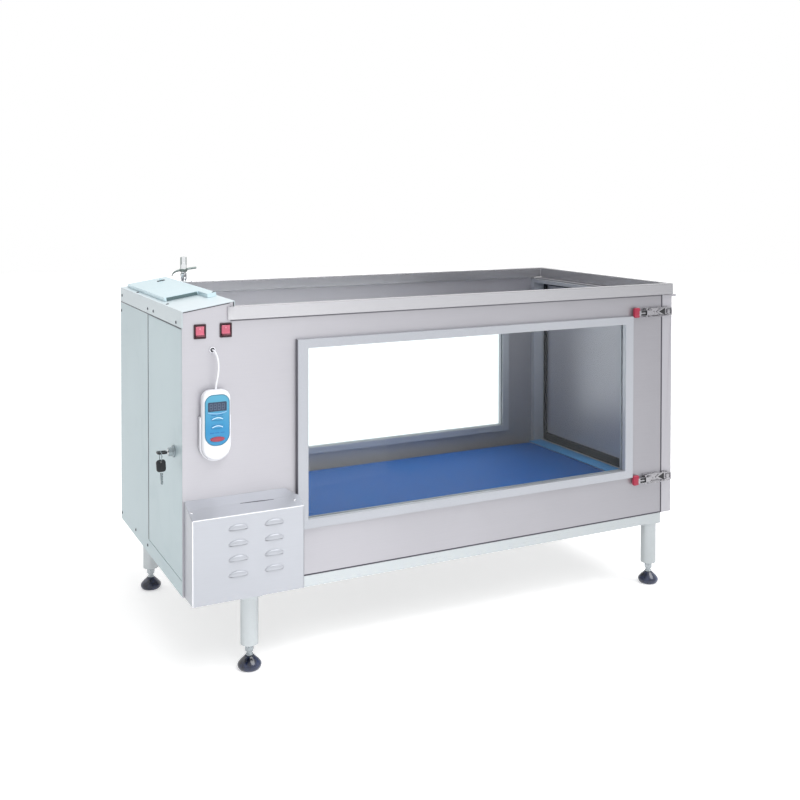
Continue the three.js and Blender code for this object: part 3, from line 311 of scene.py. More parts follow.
def mapped(value, low, high, to_low, to_high):
    """A value mapped from one range to another and clamped."""
    return node(value.id_data, "ShaderNodeMapRange", {
        "Value": value, "From Min": low, "From Max": high, "To Min": to_low,
        "To Max": to_high}).outputs["Result"]


def mixed(factor, first, second):
    """A colour mixed from two, by a factor."""
    return node(factor.id_data, "ShaderNodeMix", {0: factor, 6: first, 7: second},
                data_type="RGBA").outputs[2]


def share_of(vector, axis):
    return node(vector.id_data, "ShaderNodeSeparateXYZ", {0: vector}).outputs[axis]


def object_place(tree):
    return node(tree, "ShaderNodeTexCoord").outputs["Object"]


def new_group(build, inputs):
    """A shader node group with named inputs, whose named outputs are what build gives."""
    tree = bpy.data.node_groups.new(build.__name__, "ShaderNodeTree")
    for label, value in inputs.items():
        kind = {4: "Color", 3: "Vector"}[len(value)] if isinstance(value, tuple) else "Float"
        socket = tree.interface.new_socket(label, in_out="INPUT", socket_type="NodeSocket" + kind)
        socket.default_value = value
    made = build(tree, tree.nodes.new("NodeGroupInput").outputs)
    for label in made:
        kind = "Color" if label == "Color" else "Float"
        tree.interface.new_socket(label, in_out="OUTPUT", socket_type="NodeSocket" + kind)
    outlet = tree.nodes.new("NodeGroupOutput")
    for label, socket in made.items():
        tree.links.new(socket, outlet.inputs[label])
    return tree


def brushed_sheet(tree, given):
    """Fine scratches along one direction, broad tonal drift and faint wipe marks, and a painted shade
    that may lean the tone from light at the left end to dark at the right."""
    place = object_place(tree)
    stretched = node(tree, "ShaderNodeVectorMath", {0: place, 1: given["Stretch"]},
            operation="MULTIPLY").outputs[0]
    grain = noise(stretched, 1, 5, 0.65)
    drift = noise(place, given["Drift Size"], 2)
    wiped = noise(place, 9, 3, 0.6, 1.2)
    marks = maths("MULTIPLY", mapped(wiped, 0.52, 0.68, 0, 1), given["Marks"])
    blend = maths("ADD", mapped(grain, 0.3, 0.7, 0, 0.45), mapped(drift, 0.35, 0.65, 0, 0.55))
    # Painted shade: the tone darkens from the left end to the right, as far as the lean asks.
    run = mapped(share_of(place, "X"), -0.83, 0.83, 1, 0)
    blend = node(tree, "ShaderNodeMix", {0: given["Painted Shade Lean"], 2: blend, 3: run}).outputs[0]
    rough = mapped(grain, 0.3, 0.7, given["Smooth"], given["Rough"])
    return {"Color": mixed(blend, given["Dark Tone"], given["Light Tone"]),
            "Roughness": maths("ADD", marks, rough), "Height": grain}


def moulded_skin(tree, given):
    """The fine spark texture of injection-moulded plastic and of painted castings."""
    place = object_place(tree)
    spark = noise(place, given["Grain Size"], 2)
    drift = noise(place, 14, 3)
    blend = maths("ADD", mapped(spark, 0.35, 0.65, 0, 0.4), mapped(drift, 0.35, 0.65, 0, 0.6))
    return {"Color": mixed(blend, given["Dark Tone"], given["Light Tone"]),
            "Roughness": mapped(drift, 0.35, 0.65, given["Smooth"], given["Rough"]),
            "Height": spark}


def floor_dust(tree, given):
    """A pale film that is thickest near the floor and in patches."""
    place = object_place(tree)
    risen = maths("DIVIDE", share_of(place, "Z"), given["Reach"])
    patches = mapped(noise(place, 60, 5, 0.65), 0.4, 0.7, 0, 1)
    share = maths("MULTIPLY", mapped(risen, 0, 1, 1, 0), patches)
    share = maths("MULTIPLY", share, given["Amount"])
    return {"Color": mixed(share, given["Color"], given["Dust Tone"]),
            "Roughness": maths("ADD", share, given["Roughness"])}


def top_lift(tree, given):
    """Painted light and shade: a finish made paler, or darker, where it faces up."""
    facing = share_of(node(tree, "ShaderNodeNewGeometry").outputs["Normal"], "Z")
    gain = maths("MULTIPLY", mapped(facing, 0.3, 0.9, 0, 1), given["Lift"])
    gain = maths("ADD", gain, 1)
    return {"Color": node(tree, "ShaderNodeVectorMath", {0: given["Color"], "Scale": gain},
            operation="SCALE").outputs[0]}


def woven_face(tree, given):
    """The crossed ribs pressed into a conveyor belt's top."""
    place = object_place(tree)
    ribs = [node(tree, "ShaderNodeTexWave",
            {"Vector": place, "Scale": given["Rib Count"], "Distortion": 0},
            wave_type="BANDS", bands_direction=way).outputs["Fac"] for way in "XY"]
    crossed = maths("MAXIMUM", *ribs)
    worn = mapped(noise(place, 5, 5, 0.7), 0.48, 0.7, 0, 1)
    worn = maths("MULTIPLY", worn, given["Wear"])
    cloth = mixed(crossed, given["Hollow Tone"], given["Rib Tone"])
    return {"Color": mixed(worn, cloth, given["Worn Tone"]),
            "Roughness": mapped(worn, 0, 1, 0.45, 0.65), "Height": crossed}


def tone_run(tree, given):
    """A colour that runs from one tone to another along the height of a print."""
    place = object_place(tree)
    risen = mapped(share_of(place, "Z"), given["Lower End"], given["Upper End"], 0, 1)
    fleck = noise(place, 400, 2)
    return {"Color": mixed(risen, given["Lower Tone"], given["Upper Tone"]),
            "Roughness": mapped(fleck, 0.3, 0.7, 0.3, 0.42)}


brushed = new_group(brushed_sheet, {
    "Light Tone": tone("d2d2d6"), "Dark Tone": tone("bcbcc2"), "Stretch": (6, 400, 400),
    "Drift Size": 1.4, "Marks": 0.3, "Smooth": 0.3, "Rough": 0.42, "Painted Shade Lean": 0})
moulded = new_group(moulded_skin, {
    "Light Tone": tone("f2f3f6"), "Dark Tone": tone("e4e6ea"), "Grain Size": 900, "Smooth": 0.3,
    "Rough": 0.45})
dusted = new_group(floor_dust, {
    "Color": tone("202126"), "Dust Tone": tone("8d8c88"), "Roughness": 0.3, "Reach": 0.06,
    "Amount": 0.5})
lifted_top = new_group(top_lift, {"Color": tone("d0dade"), "Lift": 0.4})
woven = new_group(woven_face, {
    "Rib Tone": tone("2f66a8"), "Hollow Tone": tone("1c4686"), "Rib Count": 260,
    "Worn Tone": tone("3f74ad"), "Wear": 0.4})
print_run = new_group(tone_run, {
    "Lower Tone": tone("318abc"), "Upper Tone": tone("58a2bf"), "Lower End": 0.70,
    "Upper End": 0.79})


def new_material(name, constants):
    """A material, its node tree and its shader's inputs, some of them set to constants."""
    material = bpy.data.materials.new(name)
    material.use_nodes = True
    tree = material.node_tree
    shader = tree.nodes["Principled BSDF"].inputs
    for label, value in constants.items():
        shader[label].default_value = value
    return material, tree, shader


def finish(name, slot, group, values, metallic=0.0, bump=0.1, depth=0.0002, coat=0.0,
           specular=0.5, lift=0.0, dust=None):
    """A material whose colour, roughness and bump come from a group with these values. The slot
    argument, the library slot of the pieces made of it, is not used. Dust is its reach up from the
    floor and its amount."""
    material, tree, shader = new_material(name, {
        "Metallic": metallic, "Coat Weight": coat, "Coat Roughness": 0.08,
        "Specular IOR Level": specular})
    source = node(tree, "ShaderNodeGroup", values, node_tree=group).outputs
    color, roughness = source["Color"], source["Roughness"]
    # Painted light: faces that look up are made paler, or darker.
    if lift:
        color = node(tree, "ShaderNodeGroup", {"Color": color, "Lift": lift},
                node_tree=lifted_top).outputs["Color"]
    if dust:
        film = node(tree, "ShaderNodeGroup", {"Color": color, "Roughness": roughness,
                "Reach": dust[0], "Amount": dust[1]}, node_tree=dusted).outputs
        color, roughness = film["Color"], film["Roughness"]
    tree.links.new(color, shader["Base Color"])
    tree.links.new(roughness, shader["Roughness"])
    if "Height" in source and bump:
        relief = node(tree, "ShaderNodeBump",
                {"Strength": bump, "Distance": depth, "Height": source["Height"]})
        tree.links.new(relief.outputs["Normal"], shader["Normal"])
    return material


def surface(name, slot, group, light, dark, smooth, rough, values, **more):
    """A finish with a light and a dark tone, and a smooth and a rough end of its roughness."""
    return finish(name, slot, group, {"Light Tone": tone(light), "Dark Tone": tone(dark),
                                      "Smooth": smooth, "Rough": rough, **values}, **more)


def steel(name, slot, light, dark, smooth, rough, marks, metallic, stretch, painted_shade_lean=0, **more):
    """A brushed or polished metal."""
    return surface(name, slot, brushed, light, dark, smooth, rough,
                   {"Marks": marks, "Stretch": stretch, "Painted Shade Lean": painted_shade_lean}, metallic=metallic, **more)


def skin(name, slot, light, dark, smooth, rough, grain=900, **more):
    """A moulded plastic, a rubber or a paint."""
    return surface(name, slot, moulded, light, dark, smooth, rough, {"Grain Size": grain}, **more)


ALONG_X = (12, 1400, 1400)
ALONG_Y = (1400, 12, 1400)
ALONG_Z = (1400, 1400, 12)
# The wall, rim and underframe steels darken from the left end to the right: painted shade.
wall_steel = steel("brushed_wall_steel", "steel", "c4c3c9", "9a999f", 0.34, 0.46, 0.05, 0.55,
    ALONG_X, painted_shade_lean=0.7)
inner_steel = steel("brushed_inner_steel", "steel", "c2c2c2", "b0b0b0", 0.3, 0.45, 0.08, 0.6,
    ALONG_X)
upright_steel = steel("brushed_upright_steel", "steel", "bcbbc1", "b1b0b7", 0.34, 0.46, 0.05,
    0.55, ALONG_Z)
rim_steel = steel("polished_rim_steel", "steel", "d0d0d4", "a4a4a8", 0.2, 0.24, 0.01, 0.65,
    ALONG_X, painted_shade_lean=0.7, bump=0.04)
frame_steel = steel("bright_frame_steel", "steel", "b8bbc2", "adb0b7", 0.25, 0.36, 0.02, 0.4,
    (1400,) * 3, bump=0.04)
# The drive box's upward faces are made darker: painted shade.
box_steel = steel("drive_box_steel", "steel", "bcbfc6", "b1b4bb", 0.3, 0.42, 0.04, 0.4, ALONG_X,
    lift=-0.08)
rail_steel = steel("underframe_steel", "steel", "ced4d7", "b6bcbf", 0.26, 0.38, 0.03, 0.4,
    ALONG_X, painted_shade_lean=0.7, dust=(0.2, 0.12))
# The cover's upward faces are made paler than its flange: painted light.
cover_finish = steel("cover_mint_steel", "cover_steel", "cbd6da", "c3ced3", 0.3, 0.42, 0.05,
    0.25, ALONG_Y, lift=0.24)
lid_finish = steel("lid_pale_steel", "cover_steel", "d9edf3", "cfe4eb", 0.3, 0.42, 0.05, 0.25,
    ALONG_Y)
end_finish = steel("end_wall_mint_steel", "cover_steel", "bfd0d5", "b1c2c7", 0.34, 0.46, 0.05,
    0.25, ALONG_Z)
chrome = steel("polished_latch_chrome", "bright_steel", "dfe0e2", "c9cacd", 0.1, 0.2, 0.05, 1.0,
    (60,) * 3)
faucet_chrome = steel("faucet_chrome", "bright_steel", "f2f4f5", "e2e5e8", 0.08, 0.16, 0.05, 0.9,
    (60,) * 3)
latch_steel = steel("latch_bright_steel", "bright_steel", "b0afb3", "949398", 0.14, 0.28, 0.08,
    0.85, (300,) * 3)
dark_screw = steel("blackened_screw_steel", "bright_steel", "565c64", "434850", 0.3, 0.5, 0.1,
    0.5, (300,) * 3)
lever_grey = steel("lever_satin_chrome", "bright_steel", "87938f", "727e7c", 0.2, 0.32, 0.05,
    0.8, (300,) * 3)
# Painted highlight: a near-white steel for the drive box's folds.
painted_highlight_steel = steel("painted_fold_highlight", "bright_steel", "fdfdff", "f4f5fb", 0.15, 0.25, 0.02, 0.3,
    ALONG_X, bump=0.02)
lock_steel = steel("lock_nickel", "bright_steel", "9ca7ab", "6f7a7f", 0.15, 0.3, 0.1, 0.9,
    (90,) * 3)
stem_zinc = steel("stem_bright_zinc", "bright_steel", "b3b9bd", "959ca1", 0.2, 0.35, 0.1, 0.9,
    (200, 200, 900))

black_plastic = skin("black_plastic", "black_plastic", "171b20", "0e1115", 0.3, 0.45, coat=0.05)
switch_black = skin("switch_bezel_plastic", "black_plastic", "3a1822", "280f18", 0.25, 0.4,
    coat=0.05)
display_dark = skin("display_slate", "black_plastic", "33435c", "29384f", 0.12, 0.2, coat=0.15,
    bump=0)
hole_dark = skin("hole_shadow_black", "black_plastic", "2b2a33", "1f1e26", 0.7, 0.9)
white_plastic = skin("handset_white_plastic", "white_plastic", "f4f5f9", "e9ebf1", 0.3, 0.42,
    coat=0.15)
cord_white = skin("cord_white_jacket", "white_plastic", "f3f4f8", "e4e6ec", 0.35, 0.5)
lens_mark = skin("rocker_mark_pink", "white_plastic", "e3a3b2", "d795a6", 0.3, 0.4)
button_white = skin("button_pale_blue", "white_plastic", "d9efff", "bcdcf3", 0.2, 0.35)
arc_blue = skin("display_arc_blue", "white_plastic", "9cc8e8", "86b6da", 0.3, 0.4, bump=0)
rocker_red = skin("rocker_red_lens", "red_plastic", "cd667c", "b6546a", 0.12, 0.25, 300,
    coat=0.3, bump=0.03)
lens_foot = skin("rocker_lens_maroon", "red_plastic", "6b1f33", "561527", 0.2, 0.35, coat=0.2)
grip_red = skin("latch_grip_red", "red_plastic", "b72a48", "94203d", 0.3, 0.45, coat=0.1)
stop_red = skin("stop_button_red", "red_plastic", "a84558", "943b4e", 0.25, 0.4)
ink_blue = skin("label_ink_blue", "label_blue", "1f6fae", "18609c", 0.35, 0.45, bump=0)
label_edge = skin("label_edge_teal", "label_blue", "3a7a90", "306d82", 0.35, 0.45, bump=0)
label_print = finish("label_print", "label_blue", print_run, {})
display_cell = skin("display_cell", "casing_white", "52657f", "475a74", 0.2, 0.3, bump=0)
casing_white = skin("casing_white", "casing_white", "dfe0e2", "cfd0d3", 0.4, 0.55)
# Painted shade: a teal grey for the dark strip at the lid's front.
lid_front_shade_paint = skin("lid_front_painted_shade", "rubber", "64787b", "53676a", 0.4, 0.6)
rubber_black = skin("gasket_rubber", "rubber", "2a2c30", "1d1f22", 0.6, 0.8, 500, bump=0.2)
# Painted shade: greys for the dark strips in seams and under edges.
painted_seam_shade_grey = skin("seam_painted_shade_grey", "rubber", "77767e", "66656d", 0.5, 0.7)
painted_seam_shade_dark = skin("seam_painted_shade_dark", "rubber", "4c4b54", "403f48", 0.5, 0.7)
threshold_blue = skin("threshold_blue", "belt_blue", "4e9fdc", "3f8cca", 0.35, 0.5)
belt_blue = finish("conveyor_belt_blue", "belt_blue", woven, {
    "Rib Tone": tone("1d5da6"), "Hollow Tone": tone("12468c"), "Worn Tone": tone("2a69ac")},
    bump=0.4, depth=0.0005, specular=0.12)
motor_paint = skin("motor_grey_paint", "motor_grey", "5c6670", "474f59", 0.4, 0.55, 260,
    bump=0.25, depth=0.0004)
foot_black = skin("foot_black_enamel", "foot_black", "39466e", "0d101a", 0.14, 0.26, 60,
    coat=0.35, bump=0.05, dust=(0.02, 0.04))

# Glass: clear, with a faint blue-green cast and a little water film.
glass, glass_tree, pane = new_material("window_glass", {
    "Base Color": tone("f9fdfd"), "Metallic": 0, "Transmission Weight": 1, "IOR": 1.2})
water_film = noise(object_place(glass_tree), 5, 4)
glass_tree.links.new(mapped(water_film, 0.45, 0.75, 0.0, 0.06), pane["Roughness"])

# Shading of the kept CAD nodes: smooth facets on round forms, sharp where faces meet in a corner.
SMOOTH_BELOW = math.radians(32)
shading = bpy.data.node_groups.new("smooth_facets", "GeometryNodeTree")
for way in ("INPUT", "OUTPUT"):
    shading.interface.new_socket("Geometry", in_out=way, socket_type="NodeSocketGeometry")
mesh_in = shading.nodes.new("NodeGroupInput")
mesh_out = shading.nodes.new("NodeGroupOutput")
bare = node(shading, "GeometryNodeRemoveAttribute",
            {"Geometry": mesh_in.outputs[0], "Name": "custom_normal"})
soft_faces = node(shading, "GeometryNodeSetShadeSmooth",
        {"Geometry": bare.outputs[0], "Shade Smooth": True})
bend = node(shading, "GeometryNodeInputMeshEdgeAngle").outputs["Unsigned Angle"]
gentle = node(shading, "FunctionNodeCompare", {0: bend, 1: SMOOTH_BELOW}, operation="LESS_THAN")
soft_edges = node(shading, "GeometryNodeSetShadeSmooth",
        {"Geometry": soft_faces.outputs[0], "Shade Smooth": gentle.outputs[0]}, domain="EDGE")
shading.links.new(soft_edges.outputs[0], mesh_out.inputs[0])

WELD_DISTANCE = 0.00001
FLAT_BELOW = math.radians(0.4)
ROUND_ABOVE = math.radians(40)
# Dissolving gives wrong faces where an opening cuts a flat face, so these two keep their own.
KEEPS_FACES = ("end_door", "cabinet_end_wall")


def even_faces(part):
    """Keeps large flat faces flat beside their rounded edges."""
    part.modifiers.new("even", "WEIGHTED_NORMAL").keep_sharp = True


def dress(name, material, soft):
    """Gives a kept CAD node its finish, and rounds its sharp edges."""
    part = nodes[name]
    for slot in part.material_slots:
        slot.material = material
    part.modifiers.new("weld", "WELD").merge_threshold = WELD_DISTANCE
    if soft and name not in KEEPS_FACES:
        configure(part.modifiers.new("flat", "DECIMATE"), decimate_type="DISSOLVE",
                  angle_limit=FLAT_BELOW)
    if soft:
        configure(part.modifiers.new("edge", "BEVEL"), width=soft * MM, segments=2,
                  limit_method="ANGLE", angle_limit=ROUND_ABOVE, use_clamp_overlap=True)
    part.modifiers.new("smooth", "NODES").node_group = shading
    even_faces(part)


# Cord
cord_points = smooth_route(CORD_ROUTE)
handset_cord = piece("handset_cord_jacket", None, cord_white,
        [tube(cord_points, CORD_DIAMETER / 2, sides=16)], "handset_cord")
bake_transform(handset_cord)

# Kept CAD nodes, with the rounding of their edges in millimetres
for material, soft, names in (
    (rail_steel, 0.8, "underframe"), (wall_steel, 0.6, "front_wall rear_wall"),
    (inner_steel, 0.5, "floor_pan bulkhead"), (inner_steel, 0.8, "deck"),
    (frame_steel, 0.8, "doorway_frame"), (frame_steel, 1.6, "front_window_frame rear_window_frame"),
    (frame_steel, 0.5, "hinge_leaf_body hinge_leaf_door"), (rim_steel, 1.0, "rim_rail"),
    (end_finish, 0.6, "cabinet_end_wall"), (end_finish, 0.8, "access_door"),
    (cover_finish, 0.8, "cabinet_cover"), (lid_finish, 0.8, "service_lid"),
    (upright_steel, 1.0, "end_door"), (rubber_black, 2.0, "door_gasket"),
    (box_steel, 0.6, "drive_box_shelf"), (belt_blue, 0, "running_belt"),
    (rubber_black, 0, "drive_belt"), (stem_zinc, 0.6, "drive_roller idler_roller motor_pulley"),
    (motor_paint, 2.0, "drive_motor circulation_pump"), (casing_white, 4.0, "controller")):
    for name in names.split():
        dress(name, material, soft)
for name in ("front_glass", "rear_glass"):
    dress(name, glass, 0)

# Drive box cover: folded sheet with crescent louvres.
BOX_LEFT, BOX_RIGHT, WALL_RIGHT = 5, 320, 292
BOX_FRONT, BOX_RIDGE, WALL_Y = -80, -35, -0.35
EDGE_Z, RIDGE_Z, WALL_Z = 230, 247, 259
BOX_TILT = math.atan2(RIDGE_Z - EDGE_Z, BOX_RIDGE - BOX_FRONT)
BOX_EDGE, RIDGE = (BOX_FRONT, EDGE_Z), (BOX_RIDGE, RIDGE_Z)
SHEET, FOLD = 2, 0.7
LOUVRE_PLACES = [(x, z) for x in (131, 233) for z in (66, 108, 150, 192)]
LOUVRE_HALF_WIDTH, LOUVRE_HALF_HEIGHT, LOUVRE_PROUD = 28, 13.5, 6
LOUVRE_ACROSS, LOUVRE_DOWN = 24, 8


def louvre(x, z):
    """A crescent hood pressed out of the sheet, open below."""
    outer, inner = [], []
    for i in range(LOUVRE_ACROSS + 1):
        u = -1 + 2 * i / LOUVRE_ACROSS
        width = max(0.0, 1 - u * u) ** 0.5
        side = x + LOUVRE_HALF_WIDTH * u
        for k in range(LOUVRE_DOWN + 1):
            angle = k / LOUVRE_DOWN * math.pi / 2
            rise = width * math.sin(angle)
            back = LOUVRE_PROUD * width * math.cos(angle)
            outer.append((side, BOX_FRONT - back, z + LOUVRE_HALF_HEIGHT * rise))
            inner.append((side, BOX_FRONT - back * 0.8 + SHEET * 0.4,
                    z - 0.4 + LOUVRE_HALF_HEIGHT * rise * 0.86))
    count, size = len(outer), LOUVRE_DOWN + 1
    faces = []
    for i in range(LOUVRE_ACROSS):
        low, high = i * size, i * size + LOUVRE_DOWN
        for a in range(low, high):
            faces.append([a, a + size, a + size + 1, a + 1])
            faces.append([count + a + 1, count + a + size + 1, count + a + size, count + a])
        faces.append([low + size, low, count + low, count + low + size])
        faces.append([high, high + size, count + high + size, count + high])
    return mesh_of([*outer, *inner], faces)


def louvre_hole(x, z):
    """The opening under a hood, as a loop on the box front."""
    upper = arc((x, z - 1), (LOUVRE_HALF_WIDTH - 3, LOUVRE_HALF_HEIGHT - 4), 175, 5, 10)
    return [(x + 24.5, z - 2.2), (x - 24.5, z - 2.2), *upper]


def on_box_slope(x, run):
    """The matrix of a place on the box's slope, at a distance behind its front edge."""
    place = shift(x, BOX_FRONT + run, EDGE_Z + run * math.tan(BOX_TILT))
    return place @ Matrix.Rotation(BOX_TILT, 4, "X")


even_faces(piece("louvred_box_cover", "body", box_steel, [
    plate([rectangle((BOX_LEFT, BOX_RIGHT), (0, EDGE_Z)),
           *[louvre_hole(x, z) for x, z in LOUVRE_PLACES]], "y", (BOX_FRONT, BOX_FRONT + SHEET), FOLD),
    sheet_between([(BOX_LEFT, BOX_FRONT + 0.5, EDGE_Z), (BOX_RIGHT, BOX_FRONT + 0.5, EDGE_Z),
        (BOX_RIGHT, *RIDGE), (BOX_LEFT, *RIDGE)], -SHEET),
    plate([[(WALL_Y, 0), (BOX_FRONT, 0), BOX_EDGE, RIDGE, (WALL_Y, WALL_Z)]],
          "x", (BOX_LEFT, BOX_LEFT + SHEET), FOLD),
    plate([[(BOX_RIDGE, 0), (BOX_FRONT, 0), BOX_EDGE, (BOX_RIDGE, RIDGE_Z - 0.6)]],
          "x", (BOX_RIGHT - SHEET, BOX_RIGHT), FOLD), sheet_between([
        (BOX_RIGHT, BOX_RIDGE, 0), (WALL_RIGHT, WALL_Y, 0),
        (WALL_RIGHT, WALL_Y, WALL_Z), (BOX_RIGHT, *RIDGE)], SHEET),
    *[louvre(x, z) for x, z in LOUVRE_PLACES]], "louvred_cover"))


# Screws: domed heads, most with a cross recess
def screw_head(spot, radius=5, rise=2):
    profile = [(0, rise), (radius * 0.35, rise * 0.98), (radius * 0.75, rise * 0.7), (radius, 0),
               (0, 0)]
    return moved(lathe(profile, steps=20), spot)


def crossed_screws(name, body, spots, cross):
    """Screws with a cross of this half width in their heads."""
    bars = [moved(block(about(0, a), about(0, b), (1.6, 2.1), 0.1, 1), spot)
            for spot in spots for a, b in ((cross, 0.45), (0.45, cross))]
    piece(name, body, dark_screw, [screw_head(spot) for spot in spots])
    piece(name + "_recess", body, hole_dark, bars)


piece("box_top_screws", "body", chrome,
      [screw_head(on_box_slope(x, run), 4.2, 1.8) for x, run in ((12, 33), (302, 27))])
# Painted shade: a dark strip along the fold where the box's slope meets the shelf.
piece("box_slope_painted_shade", "body", painted_seam_shade_dark, [loft([
    [(x, y, EDGE_Z + (y - BOX_FRONT) * math.tan(BOX_TILT) + up)
     for y, up in ((middle - half, 0.5), (middle + half, 0.5), (middle + half, -0.6),
        (middle - half, -0.6))]
    for x, middle, half in ((150, -36.3, 0.4), (175, -36.5, 1.0), (205, -37.2, 1.4),
        (228, -38, 0.9), (246, -38.8, 0.4))])])

COVER_SLOPE = math.atan2(23, 148)
COVER_LEFT_HEIGHT = 776
LID_RISE = 12
TO_THE_LEFT = Matrix(((0, 0, -1, 0), (0, 1, 0, 0), (1, 0, 0, 0), (0, 0, 0, 1)))


def on_cover(x, y, rise=0.0):
    """The matrix of a place on the sloping cover."""
    height = COVER_LEFT_HEIGHT + x * math.tan(COVER_SLOPE)
    return shift(x, y, height) @ Matrix.Rotation(-COVER_SLOPE, 4, "Y") @ shift(0, 0, rise)


for name, places in (("cover_flange_screws", ((750, 751), (390, 744), (320, 744), (61, 741))),
        ("end_wall_screws", ((560, 22), (760, 22), (760, 700), (400, 22)))):
    crossed_screws(name, "body", [shift(0, y, z) @ TO_THE_LEFT for y, z in places], 2.2)
crossed_screws("cover_top_screws", "body", [on_cover(9, 189), on_cover(9, 560)], 2)
crossed_screws("lid_screws", "service_lid", [on_cover(136, 158, LID_RISE)], 2)

# Lock of the access door and its keys
LOCK_Y, LOCK_Z = 87, 380
LOCK = shift(0, LOCK_Y, LOCK_Z)
HEAD_FACE = -17
piece("lock_body", "access_door", lock_steel, [
    lathe([(0, -0.3), (16.5, -0.3), (16.5, -3), (15.2, -5), (12.4, -6.2), (11.8, -7.2), (11.8, -15.4),
           (10.8, HEAD_FACE), (6.3, HEAD_FACE), (6.3, -6), (0, -6)], "x"),
    lathe([(6.4, -0.3), (9, -0.3), (9, 22), (6.4, 22), (6.4, -0.3)], "x"),
    lathe([(9.2, 3), (13.5, 3), (13.5, 7), (9.2, 7), (9.2, 3)], "x", steps=6),
], "lock_barrel", LOCK)


def key_bow(middle, length, thickness, hole):
    """A round-cornered key bow with a hole and a ribbed field, drawn flat in x and y."""
    half = length / 2
    outline = rounded(about(middle, half), (-13, 13), 8)
    bow = plate([outline, arc(hole, 3.2, 0, 345, 23)], "z", about(0, thickness / 2), 1.4)
    ribs = [block((middle - half * 0.45, middle + half * 0.7), (low, low + 1.1),
            about(0, thickness / 2 + 0.4), 0.3, 1) for low in (-7.8, -5.2, -2.6, 0, 2.6)]
    return [bow, *ribs]


BOW_START = -19.3
piece("door_key_bow", "door_key", black_plastic, key_bow(BOW_START - 14.5, 29, 5, (-41, -6)),
      spot=LOCK)
piece("door_key_blade", "door_key", chrome, [
    lathe([(0, HEAD_FACE - 0.4), (5, HEAD_FACE - 0.4), (6, HEAD_FACE), (6, 24.3), (0, 24.3)], "x"),
    block((BOW_START - 1, HEAD_FACE + 2), (-4, 4), (-1, 1), 0.3),
    plate([rounded((-7, 7), (-7, 74), 5)], "x", (22.3, 24.3), 0.4)], "door_key", LOCK)

RING_RADIUS = 13
RING_X, RING_Y, RING_Z = -41, LOCK_Y - 15.8, LOCK_Z - 7
RING_BOTTOM = RING_Z - RING_RADIUS
SPARE_TOP = RING_BOTTOM + 4.6
SPARE_TILT = (shift(RING_X, RING_Y, RING_BOTTOM) @ Matrix.Rotation(math.radians(-15), 4, "X")
        @ shift(-RING_X, -RING_Y, -RING_BOTTOM))
BOW_DOWN = Matrix(((0, 1, 0, 0), (0, 0, 1, 0), (1, 0, 0, 0), (0, 0, 0, 1)))
piece("spare_key_bow", "spare_key", black_plastic, key_bow(-16.5, 33, 7, (-6.3, 0)),
      spot=SPARE_TILT @ shift(RING_X, RING_Y, SPARE_TOP) @ BOW_DOWN)
ring = [(RING_X, RING_Y + RING_RADIUS * math.cos(a), RING_Z + RING_RADIUS * math.sin(a))
        for a in turns(48)]
ring_wind = [(RING_X + (1.0 if k < 24 else -0.6), y, z) for k, (_, y, z) in enumerate(ring)]
BLADE_TEETH = [(-4, 0), (4, 0), (4, -6), (2.6, -8), (4, -11), (2.2, -14), (3.6, -17), (2, -20),
        (3.4, -24), (2.2, -28), (0.6, -31.5), (-1.5, -32), (-4, -28)]
piece("spare_key_blade", "spare_key", lock_steel, [
    tube(ring, 0.9, closed=True), tube(ring_wind, 0.7, closed=True),
    moved(plate([BLADE_TEETH[::-1]], "y", (-1, 1), 0.25),
          SPARE_TILT @ shift(RING_X, RING_Y, SPARE_TOP - 35.5))], "spare_key")

# Rocker switches, drawn about their middle
ROCKER_PROFILE = [(9, 0), (4, 13.9), (-3.2, 13.9), (-4.2, 12.9), (-2.6, 4), (-2.5, -2), (-4.2, -7),
                  (-7.1, -13.1), (-6.6, -13.9), (4, -13.9)]
LENS_FOOT_PROFILE = [(-5.6, -9.4), (-7.5, -13), (-7.2, -14.3), (0, -14.3), (0, -9.4)]
for side, x in (("left", 49), ("right", 121.5)):
    switch, rocker, spot = side + "_switch_", side + "_switch_rocker", shift(x, 0, 720)
    piece(switch + "surround", "body", switch_black, [
        plate([rounded((-17, 17), (-20, 20), 2.6), rounded((-12.5, 12.5), (-15.5, 15.5), 1.2)],
              "y", (-4, -0.3), 1.1),
        plate([rectangle((-14.5, 14.5), (-17.5, 17.5)), rectangle((-12.5, 12.5), (-15.5, 15.5))],
              "y", (-1, 20), 0.3),
        block((-14.5, 14.5), (19.5, 22), (-17.5, 17.5), 0.5)], switch + "bezel", spot)
    piece(switch + "lens", rocker, rocker_red, [plate([ROCKER_PROFILE], "x", (-11.7, 11.7), 0.8)],
          rocker, spot)
    piece(switch + "mark", rocker, lens_mark, [block((-0.8, 0.8), (-3.6, -2.4), (5, 10), 0.3)],
          spot=spot)
    piece(switch + "lens_foot", rocker, lens_foot,
          [plate([LENS_FOOT_PROFILE], "x", (-12, 12), 0.5)], spot=spot)

# Grommet with its dark bore
GROMMET = (83.5, 0, 668)
piece("grommet_ring", "body", white_plastic, [
    lathe([(6.2, 3.5), (6.2, -3.4), (6.9, -4), (8.8, -4), (10, -2.8), (10, -0.3), (8, -0.3),
           (8, 3.5), (6.2, 3.5)], "y", GROMMET)], "cable_grommet")
piece("grommet_bore", "body", hole_dark,
      [lathe([(0, -1.2), (6.5, -1.2), (6.5, 3), (0, 3)], "y", GROMMET)])

# Handset
HANDSET_X, HANDSET_BOTTOM, HANDSET_HEIGHT, HANDSET_WIDTH = 87, 371, 191, 79
HANDSET_BACK, HANDSET_FRONT, LABEL_Y = -6, -34, -35.3


